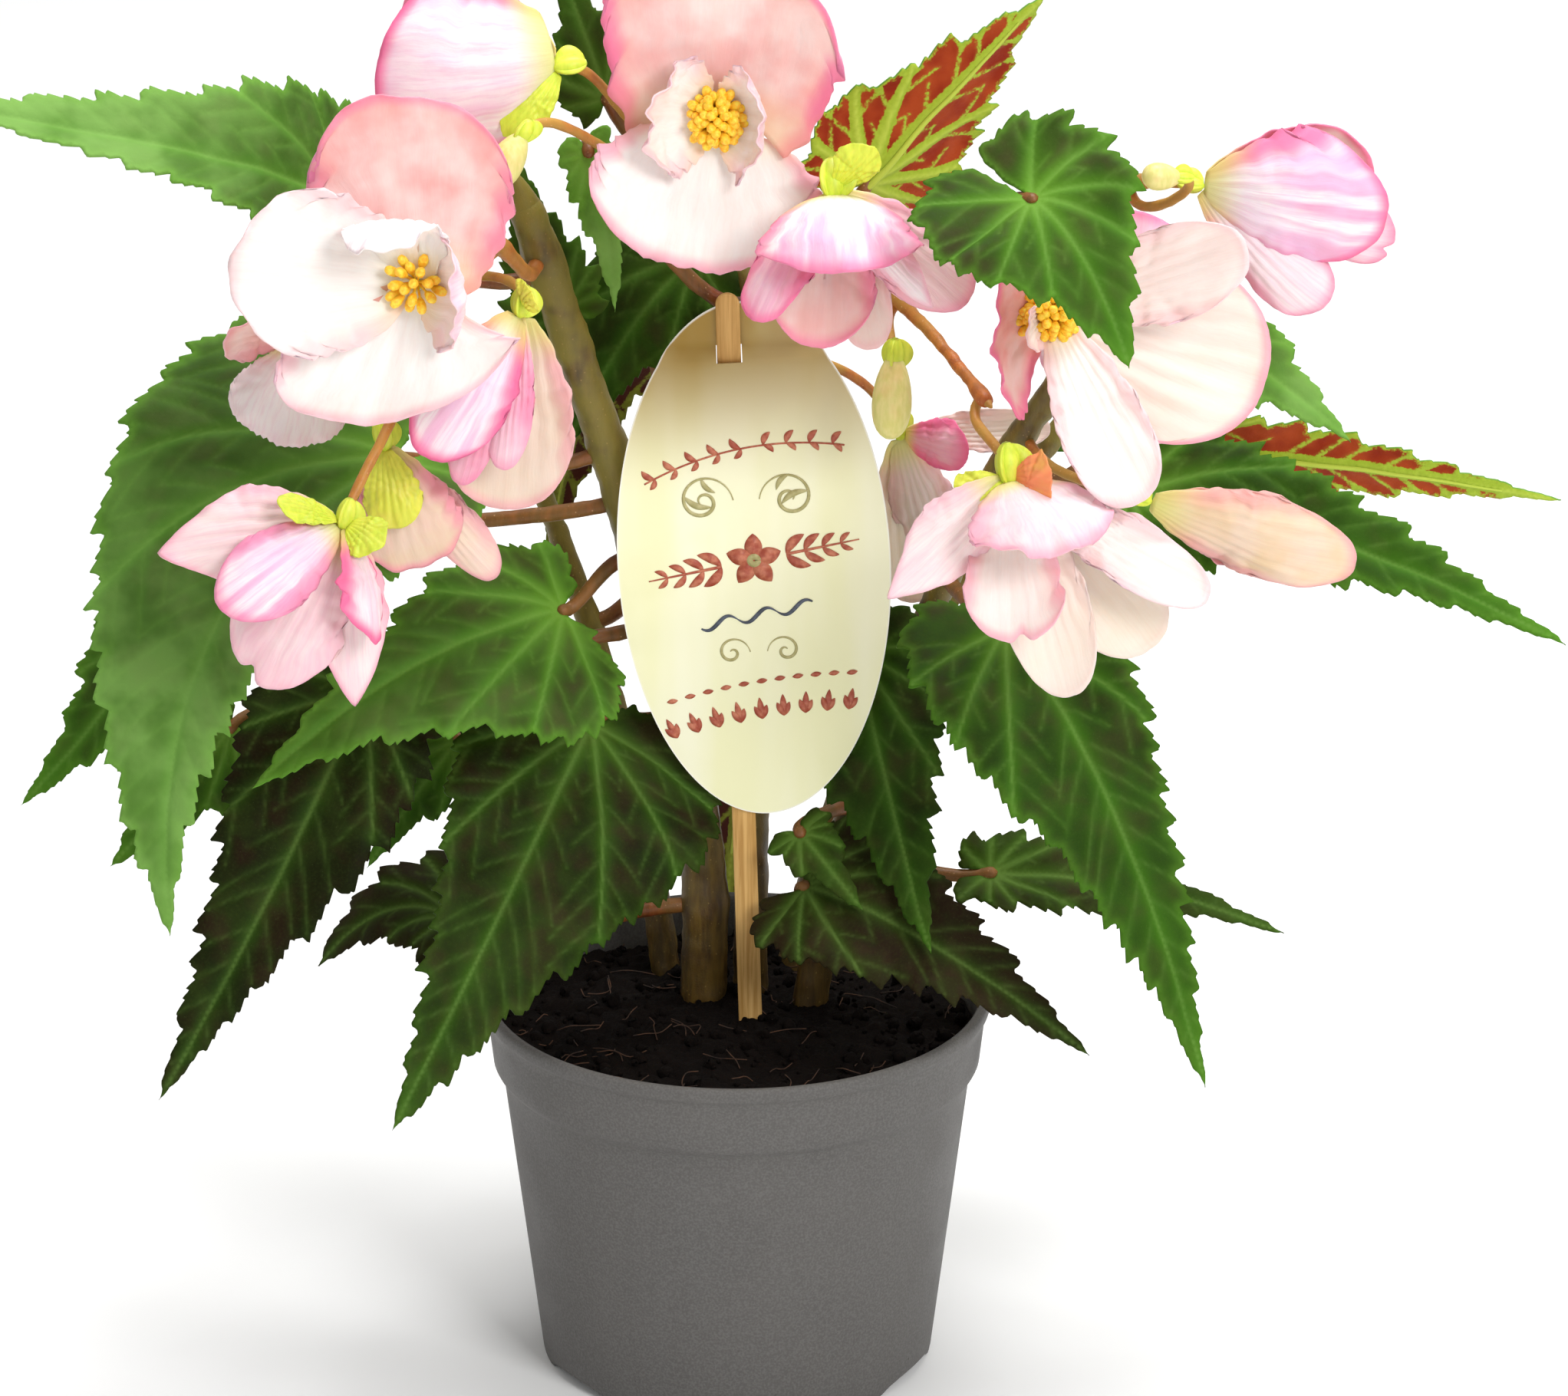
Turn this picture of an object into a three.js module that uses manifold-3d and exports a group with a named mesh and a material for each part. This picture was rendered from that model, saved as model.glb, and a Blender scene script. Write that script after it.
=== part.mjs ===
// Potted begonia: a nursery pot, its soil, an oval plant label on a wooden stick, and a flowering
// plant of five stems with leaves, flower stalks, flowers and buds. Millimetres, +Z up, the origin
// in the middle of the circle that the pot stands on. -Y is the front.
import * as THREE from 'three';
import { mergeVertices } from 'three/addons/utils/BufferGeometryUtils.js';
import Module from 'manifold-3d';

const wasm = await Module();
wasm.setup();

// ---------- driving dimensions ----------
const GAP = 0.3; // clearance between pieces that touch
const SHOOT_GAP = 0.45; // clearance where a shoot leaves its stem

const POT_HEIGHT = 91.5;
const POT_WALL = 1.6;
const POT_SIDES = 40;
const RIM_RADIUS = 60;
const LIP_HEIGHT = 4;
const COLLAR_BOTTOM_Z = 75;
const COLLAR_BOTTOM_RADIUS = 57.4;
const BODY_TOP_Z = 72.5;
const BODY_TOP_RADIUS = 55.2;
const BASE_RADIUS = 46.2;
const FOOT_HEIGHT = 3;
const FOOT_RING_RADIUS = 40;
const FLOOR_THICKNESS = 2.4;
const FOOT_ARCHES = 6;
const ARCH_WIDTH = 24;
const ARCH_HEIGHT = 2.4;
const FIRST_ARCH_DEG = 34;
const DRAIN_HOLES = 6;
const DRAIN_RADIUS = 4;
const DRAIN_CIRCLE_RADIUS = 28;

const LIP_STEP = 1.2; // how far the lip stands out from the collar
const LIP_SLOPE_HEIGHT = 1.2; // height of the slope below the lip
const LIP_CHAMFER = 0.8;
const LIP_WIDTH = 2.4;
const LIP_INSET = 1.6; // how far the collar's top lies inside the rim
const BASE_FLARE = 0.6; // how much wider the wall is at the floor than at the foot
const CUTTER_LENGTH = 20; // length of the solids that cut the arches and the drain holes
const ARCH_CUTTER_INSET = 3; // how far the middle of an arch's cutter lies inside the foot's edge
const ARCH_SIDES = 12;
const DRAIN_SIDES = 10;

const SOIL_EDGE_Z = 81.5;
const SOIL_SHOULDER_RADIUS = 42;
const SOIL_SHOULDER_Z = 83.1;
const SOIL_CROWN_RADIUS = 20;
const SOIL_CROWN_Z = 83.9;
const SOIL_MIDDLE_Z = 84.5;

const STICK_WIDTH = 5.5;
const STICK_THICKNESS = 1.4;
const STICK_FOOT_Z = 28;
const STICK_LENGTH = 237;
const STICK_POINT_LENGTH = 9;
const STICK_ARC_STEPS = 6;
const STICK_LEAN_DEG = -1.62;
const STICK_FOOT_X = 4.9;
const STICK_Y = -2;

const CARD_WIDTH = 63;
const CARD_HEIGHT = 125;
const CARD_THICKNESS = 0.7;
const CARD_ARC_STEPS = 24;
const CARD_CENTRE = [4.3, 200];
const CARD_LEAN_DEG = -2.9;
const SLOT_WIDTH = 6.4;
const SLOT_HEIGHT = 6;
const SLOT_ABOVE_CENTRE = 50.5;
const SLOT_LEFT_OF_CENTRE = 3.1;

const PETIOLE_RADIUS = 1.8;
const PETIOLE_SIDES = 5;
const PETIOLE_STEPS = 5;
const PETIOLE_RISE = 0.5; // how much a petiole rises to its blade's upper side, per length along the midrib
const BLADE_THICKNESS = 0.9;
const LOBE_GAP = 0.33; // half the notch between the basal lobes, as a share of the half width
const LOBE_CLOSING = 0.45; // how much deeper lobes close that notch
const PETAL_THICKNESS = 0.9;
const PETAL_ROOT_RADIUS = 1.8;
const PEDICEL_RADIUS = 1.1;
const OVARY_STRETCH = 2.4; // an ovary's length, as a share of its radius
const BUD_AHEAD = 0.4; // how far a bud's middle lies before its heart, as a share of its length
const EGG_SIDES = 6;
const EGG_RINGS = 4;
const PEDICEL_SIDES = 5;
const PEDICEL_STEPS = 4;
const STEM_SIDES = 8;
const STEM_STEPS = 12;
const STALK_SIDES = 6;
const STALK_STEPS = 8;
const STALK_LEAD = 4; // how far a flower stalk runs square to its stem
const SHOOT_BEND = 0.3; // how far a shoot keeps the direction of its ends, as a share of its reach
const WELD_DISTANCE = 1e-4; // points this near to each other are one point

// ---------- the plant ----------
// Stems rise from the soil: points along the middle line, radius at the foot and at the end.
const STEMS = {
  stem_left: { points: [[-9, 12, 62], [-8, 13, 120], [-24, 8, 205], [-37, 2, 250], [-47, -4, 285]],
    r: [5.8, 4.2] },
  stem_middle: { points: [[3, 17, 62], [4, 18, 130], [8, 16, 200], [6, 8, 255], [-6, -6, 300]],
    r: [4.4, 2.4] },
  stem_right: { points: [[14, 8, 62], [24, 12, 120], [42, 14, 172], [58, 12, 212], [75, 4, 244],
    [86, -8, 290]],
    r: [4.4, 2.4] },
  stem_back_left: { points: [[-14, 26, 62], [-24, 40, 125], [-42, 54, 185], [-62, 70, 228]], r: [3.8, 2.2] },
  stem_back_right: { points: [[8, 30, 62], [24, 46, 120], [50, 62, 165], [78, 72, 208]], r: [3.8, 2.2] },
};

// Flower stalks grow from a stem: its name, how far along it, the points that follow, two radii.
const STALKS = {
  stalk_left: { from: ['stem_left', 0.95], points: [[-55, -24, 284], [-66, -38, 276], [-77, -48, 262]],
    r: [1.9, 1.4] },
  stalk_top: { from: ['stem_middle', 0.97], points: [[-14, -20, 310], [-18, -27, 320]], r: [1.9, 1.5] },
  stalk_middle: { from: ['stem_middle', 0.84], points: [[26, 3, 270], [42, -26, 266], [56, -56, 258]],
    r: [1.9, 1.4] },
  stalk_right: { from: ['stem_right', 0.96], points: [[89, -24, 298], [92, -34, 302]], r: [1.9, 1.4] },
};

// Leaves: where the petiole grows, the blade's joint, middle and tip, the way its upper side
// faces, the half widths to the right and left of the midrib, the fold of the two halves, and how
// far the basal lobes reach back, as a share of the blade's length.
const LEAVES = {
  leaf_01: { from: ['stem_left', 0.93], rib: [[-90, -12, 290], [-122, -25, 306], [-189, -38, 322]],
    face: [0.1, -0.6, 0.8], half: [24, 17], fold: 14, lobe: 0.14 },
  leaf_02: { from: ['stem_middle', 0.88], rib: [[30, -5, 292], [49, -3, 313], [70, 0, 335]],
    face: [-0.2, 0.85, 0.5], half: [20, 22], fold: 12, lobe: 0.1 },
  leaf_03: { from: ['stem_right', 0.9], rib: [[65, -84, 314], [76, -95, 304], [86, -104, 282]],
    face: [0.1, -0.75, 0.65], half: [26, 20], fold: 10, lobe: 0.4 },
  leaf_04: { from: ['stem_right', 0.76], rib: [[98, 20, 219], [143, 14, 217], [191, 8, 211]],
    face: [0, 0.9, 0.35], half: [11, 13], fold: 10, lobe: 0.06 },
  leaf_05: { from: ['stem_right', 0.7], rib: [[91, 2, 215], [138, -12, 208], [190, -26, 188]],
    face: [0.1, -0.75, 0.65], half: [15, 17], fold: 8, lobe: 0.04 },
  leaf_06: { from: ['stem_right', 0.85], rib: [[105, -12, 259], [122, -18, 250], [140, -22, 236]],
    face: [0.1, -0.75, 0.65], half: [11, 11], fold: 8, lobe: 0.12 },
  leaf_07: { from: ['stem_right', 0.55], rib: [[62, -24, 192], [87, -55, 156], [107, -72, 98]],
    face: [0.3, -0.85, 0.35], half: [27, 19], fold: 8, lobe: 0.1 },
  leaf_08: { from: ['stem_middle', 0.5], rib: [[28, 6, 175], [36, -8, 143], [45, -34, 115]],
    face: [-0.35, -0.85, 0.3], half: [18, 18], fold: 8, lobe: 0.1 },
  leaf_09: { from: ['stem_right', 0.2], rib: [[16, -8, 121], [45, -26, 114], [82, -38, 91]],
    face: [0.1, -0.7, 0.7], half: [19, 19], fold: 8, lobe: 0.06 },
  leaf_10: { from: ['stem_right', 0.25], rib: [[60, 12, 116], [94, 10, 113], [129, 4, 104]],
    face: [0, -0.6, 0.8], half: [9, 9], fold: 12, lobe: 0.1 },
  leaf_11: { from: ['stem_left', 0.42], rib: [[-34, 1, 158], [-53, -32, 127], [-78, -74, 88]],
    face: [0.25, -0.85, 0.4], half: [27, 36], fold: 5, lobe: 0.08 },
  leaf_12: { from: ['stem_left', 0.52], rib: [[-86, -6, 169], [-107, -24, 127], [-133, -48, 84]],
    face: [-0.2, -0.9, 0.3], half: [23, 20], fold: 8, lobe: 0.1 },
  leaf_13: { from: ['stem_left', 0.72], rib: [[-77, -5, 226], [-118, -52, 200], [-128, -64, 132]],
    face: [-0.3, -0.85, 0.4], half: [48, 24], fold: 6, lobe: 0.12 },
  leaf_14: { from: ['stem_left', 0.66], rib: [[-133, 15, 180], [-149, 12, 156], [-168, 10, 134]],
    face: [-0.2, -0.8, 0.5], half: [12, 12], fold: 8, lobe: 0.1 },
  leaf_15: { from: ['stem_back_left', 0.4], rib: [[-119, 22, 149], [-133, 20, 132], [-148, 16, 116]],
    face: [-0.2, -0.8, 0.5], half: [12, 12], fold: 8, lobe: 0.1 },
  leaf_16: { from: ['stem_left', 0.6], rib: [[-40, 2, 186], [-74, -19, 180], [-110, -44, 160]],
    face: [-0.1, -0.75, 0.65], half: [18, 33], fold: 8, lobe: 0.05 },
  leaf_17: { from: ['stem_back_left', 0.3], rib: [[-65, 15, 149], [-76, 12, 135], [-87, 10, 118]],
    face: [-0.2, -0.9, 0.3], half: [10, 9], fold: 8, lobe: 0.1 },
  leaf_18: { from: ['stem_left', 0.2], rib: [[-67, 8, 106], [-83, 10, 107], [-99, 12, 92]],
    face: [-0.1, -0.5, 0.85], half: [15, 13], fold: 8, lobe: 0.1 },
  leaf_19: { from: ['stem_middle', 0.62], rib: [[-9, 21, 266], [-24, 17, 250], [-40, 11, 222]],
    face: [-0.1, -0.9, 0.4], half: [19, 17], fold: 6, lobe: 0.12 },
  leaf_20: { from: ['stem_middle', 0.82], rib: [[-33, -6, 300], [-29, -12, 283], [-27, -16, 265]],
    face: [-0.1, -0.95, 0.2], half: [6, 6], fold: 10, lobe: 0.1 },
  leaf_21: { from: ['stem_right', 0.3], rib: [[15, -7, 134], [21, -14, 129], [30, -22, 120]],
    face: [0, -0.8, 0.6], half: [7, 7], fold: 8, lobe: 0.1 },
  leaf_22: { from: ['stem_middle', 0.93], rib: [[-29, 5, 309], [-34, 8, 324], [-39, 12, 337]],
    face: [-0.2, -0.9, 0.2], half: [10, 10], fold: 10, lobe: 0.1 },
  leaf_23: { from: ['stem_left', 0.85], rib: [[-39, 10, 257], [-45, 12, 273], [-49, 13, 292]],
    face: [0.2, -0.95, 0], half: [9, 11], fold: 10, lobe: 0.1 },
  leaf_24: { from: ['stem_back_left', 0.9], rib: [[-84, 76, 208], [-106, 92, 198], [-126, 104, 166]],
    face: [-0.4, 0.6, 0.7], half: [26, 24], fold: 8, lobe: 0.12 },
  leaf_25: { from: ['stem_back_right', 0.9], rib: [[88, 76, 200], [102, 90, 190], [109, 104, 164]],
    face: [0.4, 0.6, 0.7], half: [20, 22], fold: 8, lobe: 0.12 },
  leaf_26: { from: ['stem_back_left', 0.6], rib: [[-24, 66, 236], [-36, 82, 212], [-46, 92, 166]],
    face: [-0.1, 0.85, 0.5], half: [22, 24], fold: 8, lobe: 0.12 },
  leaf_27: { from: ['stem_back_right', 0.45], rib: [[48, 74, 150], [66, 92, 138], [78, 104, 98]],
    face: [0.4, 0.6, 0.7], half: [26, 24], fold: 8, lobe: 0.12 },
  leaf_28: { from: ['stem_middle', 0.55], rib: [[8, 70, 172], [3, 96, 132], [-4, 105, 60]],
    face: [0, 0.8, 0.6], half: [24, 26], fold: 8, lobe: 0.12 },
};

// Flowers: where the pedicel grows, the heart, the way the flower faces, the ovary's radius, and
// petals as [tip from the heart, the way the inner side looks, width, how far the middle bulges
// outward, cup].
const FLOWERS = {
  flower_01: { from: ['stalk_top', 0.7], heart: [-38, -35, 329], facing: [-0.97, -0.2, -0.1], ovary: 3,
    petals: [[[-41, -12, -1], [0.1, 0.95, 0], 43, 6, 0.5], [[-37, 15, 6], [0, -1, 0], 34, 6, 0.5],
      [[-13, -7, -14], [0.3, 0.9, 0], 11, 2, 0.3]] },
  flower_02: { from: ['stalk_top', 0.9], heart: [-4, -40, 319], facing: [0.05, -0.95, 0.05], ovary: 3,
    petals: [[[3, -5, 41], [-0.1, -0.95, 0.25], 54, 3, 0.12],
      [[-5, -13, -31], [0.05, -0.93, 0.35], 51, 2, 0.14], [[-14, -14, 4], [0.7, -0.7, 0], 27, 5, 0.25],
      [[10, -15, 1], [-0.85, -0.5, 0], 26, 5, 0.3]] },
  flower_03: { from: ['stalk_left', 0.45], heart: [-69, -74, 292], facing: [-0.15, -0.95, 0.15], ovary: 3,
    petals: [[[-2, 5, 41], [0.05, -0.97, 0.15], 44, 3, 0.06],
      [[-40, -9, 6], [0.1, -0.95, 0.3], 36, 1.5, 0.2], [[-8, -11, -29], [0, -0.9, 0.45], 50, 3, 0.2],
      [[-10, -20, 12], [0.1, -0.1, -0.95], 24, 11, 0.2], [[8, -18, 1], [-0.78, -0.62, 0], 28, 6, 0.25]] },
  flower_04: { from: ['stalk_left', 0.35], heart: [-96, -40, 267], facing: [-0.4, -0.35, -0.8], ovary: 3,
    petals: [[[-6, -10, -21], [0, 1, -0.2], 27, 3, 0.2], [[-17, -12, 4], [0.1, -0.9, -0.4], 15, 2, 0.2],
      [[4, 6, -20], [0, -0.9, 0.2], 22, 3, 0.2]] },
  flower_05: { from: ['stalk_left', 0.6], heart: [-47, -58, 280], facing: [-0.24, -0.27, -0.93], ovary: 3,
    petals: [[[-21, -16, -29], [-0.1, 0.9, -0.35], 21, 5, 0.45],
      [[-5, 0, -47], [0, -0.95, 0.1], 29, 3, 0.2], [[-14, -9, -38], [0.3, 0.9, 0], 11, 2, 0.3],
      [[-4, -10, -34], [0.1, 0.9, 0], 10, 2, 0.3], [[2, -4, 6], [0.3, 0.7, -0.5], 9, 1, 0.2]] },
  flower_06: { from: ['stalk_left', 0.98], heart: [-86, -80, 238], facing: [-0.3, -0.3, -0.9], ovary: 3,
    petals: [[[-41, -4, -6], [0, 0.85, -0.5], 23, 4, 0.25],
      [[-26, -20, -13], [0.1, 0.9, -0.3], 19, 6, 0.55], [[7, -13, -24], [-0.75, 0.5, 0], 15, 3, 0.4],
      [[-20, -7, -35], [0.2, 0.95, 0], 25, 4, 0.3], [[2, -3, -43], [-0.2, 0.9, 0.1], 18, 3, 0.3],
      [[-14, -7, 7], [0, 0.5, -0.85], 8, 1, 0.2], [[9, -8, -3], [-0.3, 0.8, -0.3], 11, 1, 0.2]] },
  flower_07: { from: ['stalk_left', 0.85], heart: [-78, -56, 248], facing: [0.15, -0.15, -0.97], ovary: 3,
    petals: [[[3, -7, -18], [0, 0.95, 0], 13, 2, 0.3], [[8, 2, -31], [0, 0.95, 0], 24, 4, 0.3],
      [[24, 8, -35], [0, 0.95, 0.2], 12, 2, 0.3]] },
  flower_08: { from: ['stalk_middle', 0.4], heart: [22, -56, 307], facing: [0.05, -0.5, -0.86], ovary: 4,
    petals: [[[2, -25, -11], [0, 0.35, -0.93], 36, 5, 0.35],
      [[-18, -12, -26], [0.6, 0.75, -0.1], 15, 3, 0.3], [[-4, -4, -35], [0, -0.95, 0.2], 23, 4, 0.3],
      [[9, 0, -37], [-0.2, -0.95, 0.2], 14, 2, 0.2], [[22, -15, -22], [0.3, 0.85, 0.2], 9, 2, 0.4],
      [[30, 0, -26], [-0.2, 0.9, -0.2], 18, 3, 0.3], [[9, -3, 11], [-0.3, 0.9, 0], 11, 1, 0.2]] },
  flower_09: { from: ['stalk_right', 0.5], heart: [70, -55, 279], facing: [-0.1, -0.95, -0.2], ovary: 3,
    petals: [[[43, -11, 17], [0, -0.9, 0.4], 21, 3, 0.2],
      [[48, -4, -16], [0.05, -0.92, 0.4], 43, 3, 0.16], [[19, -25, -37], [0, -0.9, 0.3], 20, -2, 0.25],
      [[-13, -15, -4], [0.85, -0.3, 0.1], 37, 3, 0.2], [[-5, -15, -2], [0.3, -0.9, 0], 10, 1, 0.2]] },
  flower_10: { from: ['stalk_right', 0.95], heart: [103, -40, 303], facing: [0.97, -0.2, -0.1], ovary: 2.5,
    petals: [[[42, -8, -5], [-0.1, 0.95, 0], 31, 5, 0.45], [[40, 8, -1], [0, -0.95, 0], 28, 5, 0.45],
      [[44, 0, -14], [0, 0.95, 0.3], 16, 3, 0.3], [[29, -2, -28], [0.1, 0.95, 0.1], 17, 3, 0.3]] },
  flower_11: { from: ['stalk_middle', 0.98], heart: [61, -75, 247], facing: [0.1, -0.3, -0.94], ovary: 4,
    petals: [[[-27, -13, -24], [0.2, 0.85, 0.3], 19, 3, 0.25],
      [[13, -19, -11], [-0.22, 0.35, -0.9], 36, 3, 0.2], [[1, -18, -33], [0, -0.95, 0.2], 22, 4, 0.3],
      [[14, -6, -50], [-0.1, -0.95, 0.1], 19, 3, 0.25], [[32, 5, -43], [0, -0.95, 0.2], 25, 3, 0.2],
      [[44, -4, -28], [0.1, -0.85, 0.5], 15, 2, 0.2], [[-10, -5, -6], [0.3, 0.9, -0.3], 14, 1, 0.3],
      [[9, -8, 0], [-0.4, 0.9, 0], 14, 1, 0.3]] },
  flower_12: { from: ['stem_right', 0.72], heart: [93, -30, 225], facing: [0.93, -0.1, -0.35], ovary: 2.5,
    petals: [[[48, -4, -15], [0.1, 0.95, 0.1], 21, 4, 0.4], [[47, 7, -18], [0, -0.95, 0], 19, 4, 0.4]] },
  flower_13: { from: ['stem_middle', 0.75], heart: [38, 27, 221], facing: [0.3, 0.05, -0.95], ovary: 3,
    petals: [[[16, -9, -2], [0, 0.95, 0.1], 13, 2, 0.3], [[35, -3, 2], [0, -0.9, 0.4], 10, 2, 0.2],
      [[4, -1, -42], [0, -0.95, 0.1], 18, 3, 0.25], [[12, 5, -36], [0, 0.95, 0.1], 17, 3, 0.25]] },
  flower_14: { from: ['stem_back_left', 0.97], heart: [-84, 84, 242], facing: [-0.3, 0.8, 0.4], ovary: 3,
    petals: [[[-2, 2, 29], [-0.2, 0.95, 0], 37, 2, 0.15], [[0, 18, -26], [-0.2, 0.85, 0.5], 38, 2, 0.15],
      [[14, 14, 2], [-0.7, 0.7, 0.2], 16, 2, 0.25], [[-16, 8, 2], [0.7, 0.7, 0.2], 16, 2, 0.25]] },
  flower_15: { from: ['stem_back_right', 0.97], heart: [92, 84, 226], facing: [0.3, 0.85, 0.1], ovary: 3,
    petals: [[[-2, 8, 28], [0.2, 0.9, -0.3], 32, 2, 0.15], [[20, 14, -15], [-0.1, 0.9, 0.3], 28, 2, 0.2],
      [[-20, 20, -12], [0.4, 0.85, 0.2], 28, 2, 0.2]] },
  flower_16: { from: ['stem_middle', 0.9], heart: [-8, 56, 284], facing: [-0.1, 0.9, 0.2], ovary: 3,
    petals: [[[0, 4, 28], [0, 0.95, -0.2], 35, 2, 0.15], [[0, 15, -26], [0, 0.9, 0.4], 37, 2, 0.15],
      [[14, 13, 2], [-0.7, 0.7, 0], 15, 2, 0.25], [[-14, 11, 2], [0.7, 0.7, 0], 15, 2, 0.25]] },
};

// Closed buds: where the pedicel grows, the heart, the way the bud points, its radius and length.
const BUDS = {
  bud_1: { from: ['stalk_middle', 0.5], heart: [36, -30, 258], facing: [-0.05, -0.1, -0.99],
    r: 5, length: 20 },
  bud_2: { from: ['stalk_right', 0.7], heart: [98, -53, 309], facing: [-0.9, -0.2, 0.1],
    r: 3.4, length: 9 },
  bud_3: { from: ['stalk_top', 0.5], heart: [-47, -50, 317], facing: [-0.5, -0.3, -0.8],
    r: 4.4, length: 14 },
};

// ---------- colours ----------
const POT_GREY = { color: 0x6b6a6b, roughness: 0.62, metalness: 0 };
const PEAT = { color: 0x1c1310, roughness: 1, metalness: 0 };
const BIRCH = { color: 0xc79b5e, roughness: 0.7, metalness: 0 };
const CARD_CREAM = { color: 0xdcd9a4, roughness: 0.45, metalness: 0 };
const STEM_BROWN = { color: 0x7c4a2c, roughness: 0.6, metalness: 0 };
const STALK_ORANGE = { color: 0xb8561f, roughness: 0.55, metalness: 0 };
const LEAF_GREEN = { color: 0x2f5b2a, roughness: 0.5, metalness: 0 };
const PETAL_PINK = { color: 0xf5dcd6, roughness: 0.5, metalness: 0 };
const BUD_GREEN = { color: 0xc9cf62, roughness: 0.5, metalness: 0 };

// ---------- helpers ----------
const radians = THREE.MathUtils.degToRad;
const vector = (xyz) => new THREE.Vector3(...xyz);
const part = new THREE.Group();

function addMesh(name, geometry, finish) {
  const mesh = new THREE.Mesh(geometry, new THREE.MeshStandardMaterial(finish));
  mesh.name = name;
  part.add(mesh);
  return mesh;
}

// A closed mesh as a solid that can be joined and cut.
function toSolid(geometry) {
  const bare = geometry.clone();
  bare.deleteAttribute('normal');
  bare.deleteAttribute('uv');
  const merged = mergeVertices(bare, WELD_DISTANCE);
  return new wasm.Manifold(new wasm.Mesh({
    numProp: 3,
    vertProperties: new Float32Array(merged.attributes.position.array),
    triVerts: new Uint32Array(merged.index.array),
  }));
}

function toGeometry(solid) {
  const mesh = solid.getMesh();
  const geometry = new THREE.BufferGeometry();
  geometry.setAttribute('position', new THREE.BufferAttribute(new Float32Array(mesh.vertProperties), 3));
  geometry.setIndex(new THREE.BufferAttribute(new Uint32Array(mesh.triVerts), 1));
  geometry.computeVertexNormals();
  return geometry;
}

// The union of several closed meshes.
function joined(geometries) {
  const [first, ...rest] = geometries.map(toSolid);
  return toGeometry(rest.reduce((sum, solid) => sum.add(solid), first));
}

// A round bar that follows a curve and tapers from one radius to the other.
function taperedBar(curve, startRadius, endRadius, sides, steps) {
  const frames = curve.computeFrenetFrames(steps);
  const bar = new THREE.CylinderGeometry(endRadius, startRadius, 1, sides, steps);
  const position = bar.attributes.position;
  const point = new THREE.Vector3();
  for (let i = 0; i < position.count; i++) {
    const ring = Math.round((position.getY(i) + 0.5) * steps);
    point.copy(curve.getPointAt(ring / steps));
    point.addScaledVector(frames.normals[ring], position.getX(i));
    point.addScaledVector(frames.binormals[ring], -position.getZ(i));
    position.setXYZ(i, point.x, point.y, point.z);
  }
  return bar;
}

// A thin closed sheet around a surface of points and triangles.
function sheet(points, faces, thickness) {
  const normals = points.map(() => new THREE.Vector3());
  const edgeOwner = new Map();
  for (const face of faces) {
    const [a, b, c] = face.map((i) => points[i]);
    const normal = b.clone().sub(a).cross(c.clone().sub(a));
    face.forEach((i) => normals[i].add(normal));
    face.forEach((i, k) => edgeOwner.set(`${i},${face[(k + 1) % 3]}`, true));
  }
  const count = points.length;
  const coordinates = [];
  for (const side of [0.5, -0.5]) {
    points.forEach((point, i) => {
      const shifted = point.clone().addScaledVector(normals[i].clone().normalize(), side * thickness);
      coordinates.push(shifted.x, shifted.y, shifted.z);
    });
  }
  const index = [];
  for (const [a, b, c] of faces) {
    index.push(a, b, c, a + count, c + count, b + count);
    for (const [from, to] of [[a, b], [b, c], [c, a]]) {
      if (!edgeOwner.has(`${to},${from}`)) {
        index.push(to, from, from + count, to, from + count, to + count);
      }
    }
  }
  const geometry = new THREE.BufferGeometry();
  geometry.setAttribute('position', new THREE.Float32BufferAttribute(coordinates, 3));
  geometry.setIndex(index);
  geometry.computeVertexNormals();
  return geometry;
}

// The part of a direction that is square to another one, at unit length.
function squareTo(direction, axis) {
  return direction.clone().addScaledVector(axis, -direction.dot(axis)).normalize();
}

// ---------- branching ----------
const branches = {};

// The point just off a branch's skin, on the side that looks towards a target.
function budPoint([name, along], target) {
  const { curve, r } = branches[name];
  const middle = curve.getPointAt(along);
  const outward = squareTo(target.clone().sub(middle), curve.getTangentAt(along));
  const radius = THREE.MathUtils.lerp(r[0], r[1], along);
  return { start: middle.addScaledVector(outward, radius + SHOOT_GAP), outward };
}

// A curve that leaves a branch square to it and arrives at a target along a direction.
function shootCurve(from, target, arrival) {
  const { start, outward } = budPoint(from, target);
  const reach = start.distanceTo(target);
  const leave = start.clone().addScaledVector(outward, reach * SHOOT_BEND);
  const arrive = target.clone().addScaledVector(arrival, -reach * SHOOT_BEND);
  return new THREE.CubicBezierCurve3(start, leave, arrive, target);
}

// ---------- pot ----------
function potProfile() {
  const inner = (radius) => radius - POT_WALL;
  const floorTop = FOOT_HEIGHT + FLOOR_THICKNESS;
  const lipBottom = POT_HEIGHT - LIP_HEIGHT;
  return [
    [0, FOOT_HEIGHT],
    [FOOT_RING_RADIUS, FOOT_HEIGHT],
    [FOOT_RING_RADIUS + 1, 0],
    [BASE_RADIUS, 0],
    [BODY_TOP_RADIUS, BODY_TOP_Z],
    [COLLAR_BOTTOM_RADIUS, COLLAR_BOTTOM_Z],
    [RIM_RADIUS - LIP_STEP, lipBottom],
    [RIM_RADIUS, lipBottom + LIP_SLOPE_HEIGHT],
    [RIM_RADIUS, POT_HEIGHT - LIP_CHAMFER],
    [RIM_RADIUS - LIP_CHAMFER, POT_HEIGHT],
    [RIM_RADIUS - LIP_WIDTH, POT_HEIGHT],
    [inner(RIM_RADIUS - LIP_INSET), lipBottom],
    [inner(COLLAR_BOTTOM_RADIUS), COLLAR_BOTTOM_Z],
    [inner(BODY_TOP_RADIUS), BODY_TOP_Z],
    [inner(BASE_RADIUS + BASE_FLARE), floorTop],
    [0, floorTop],
  ];
}

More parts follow.
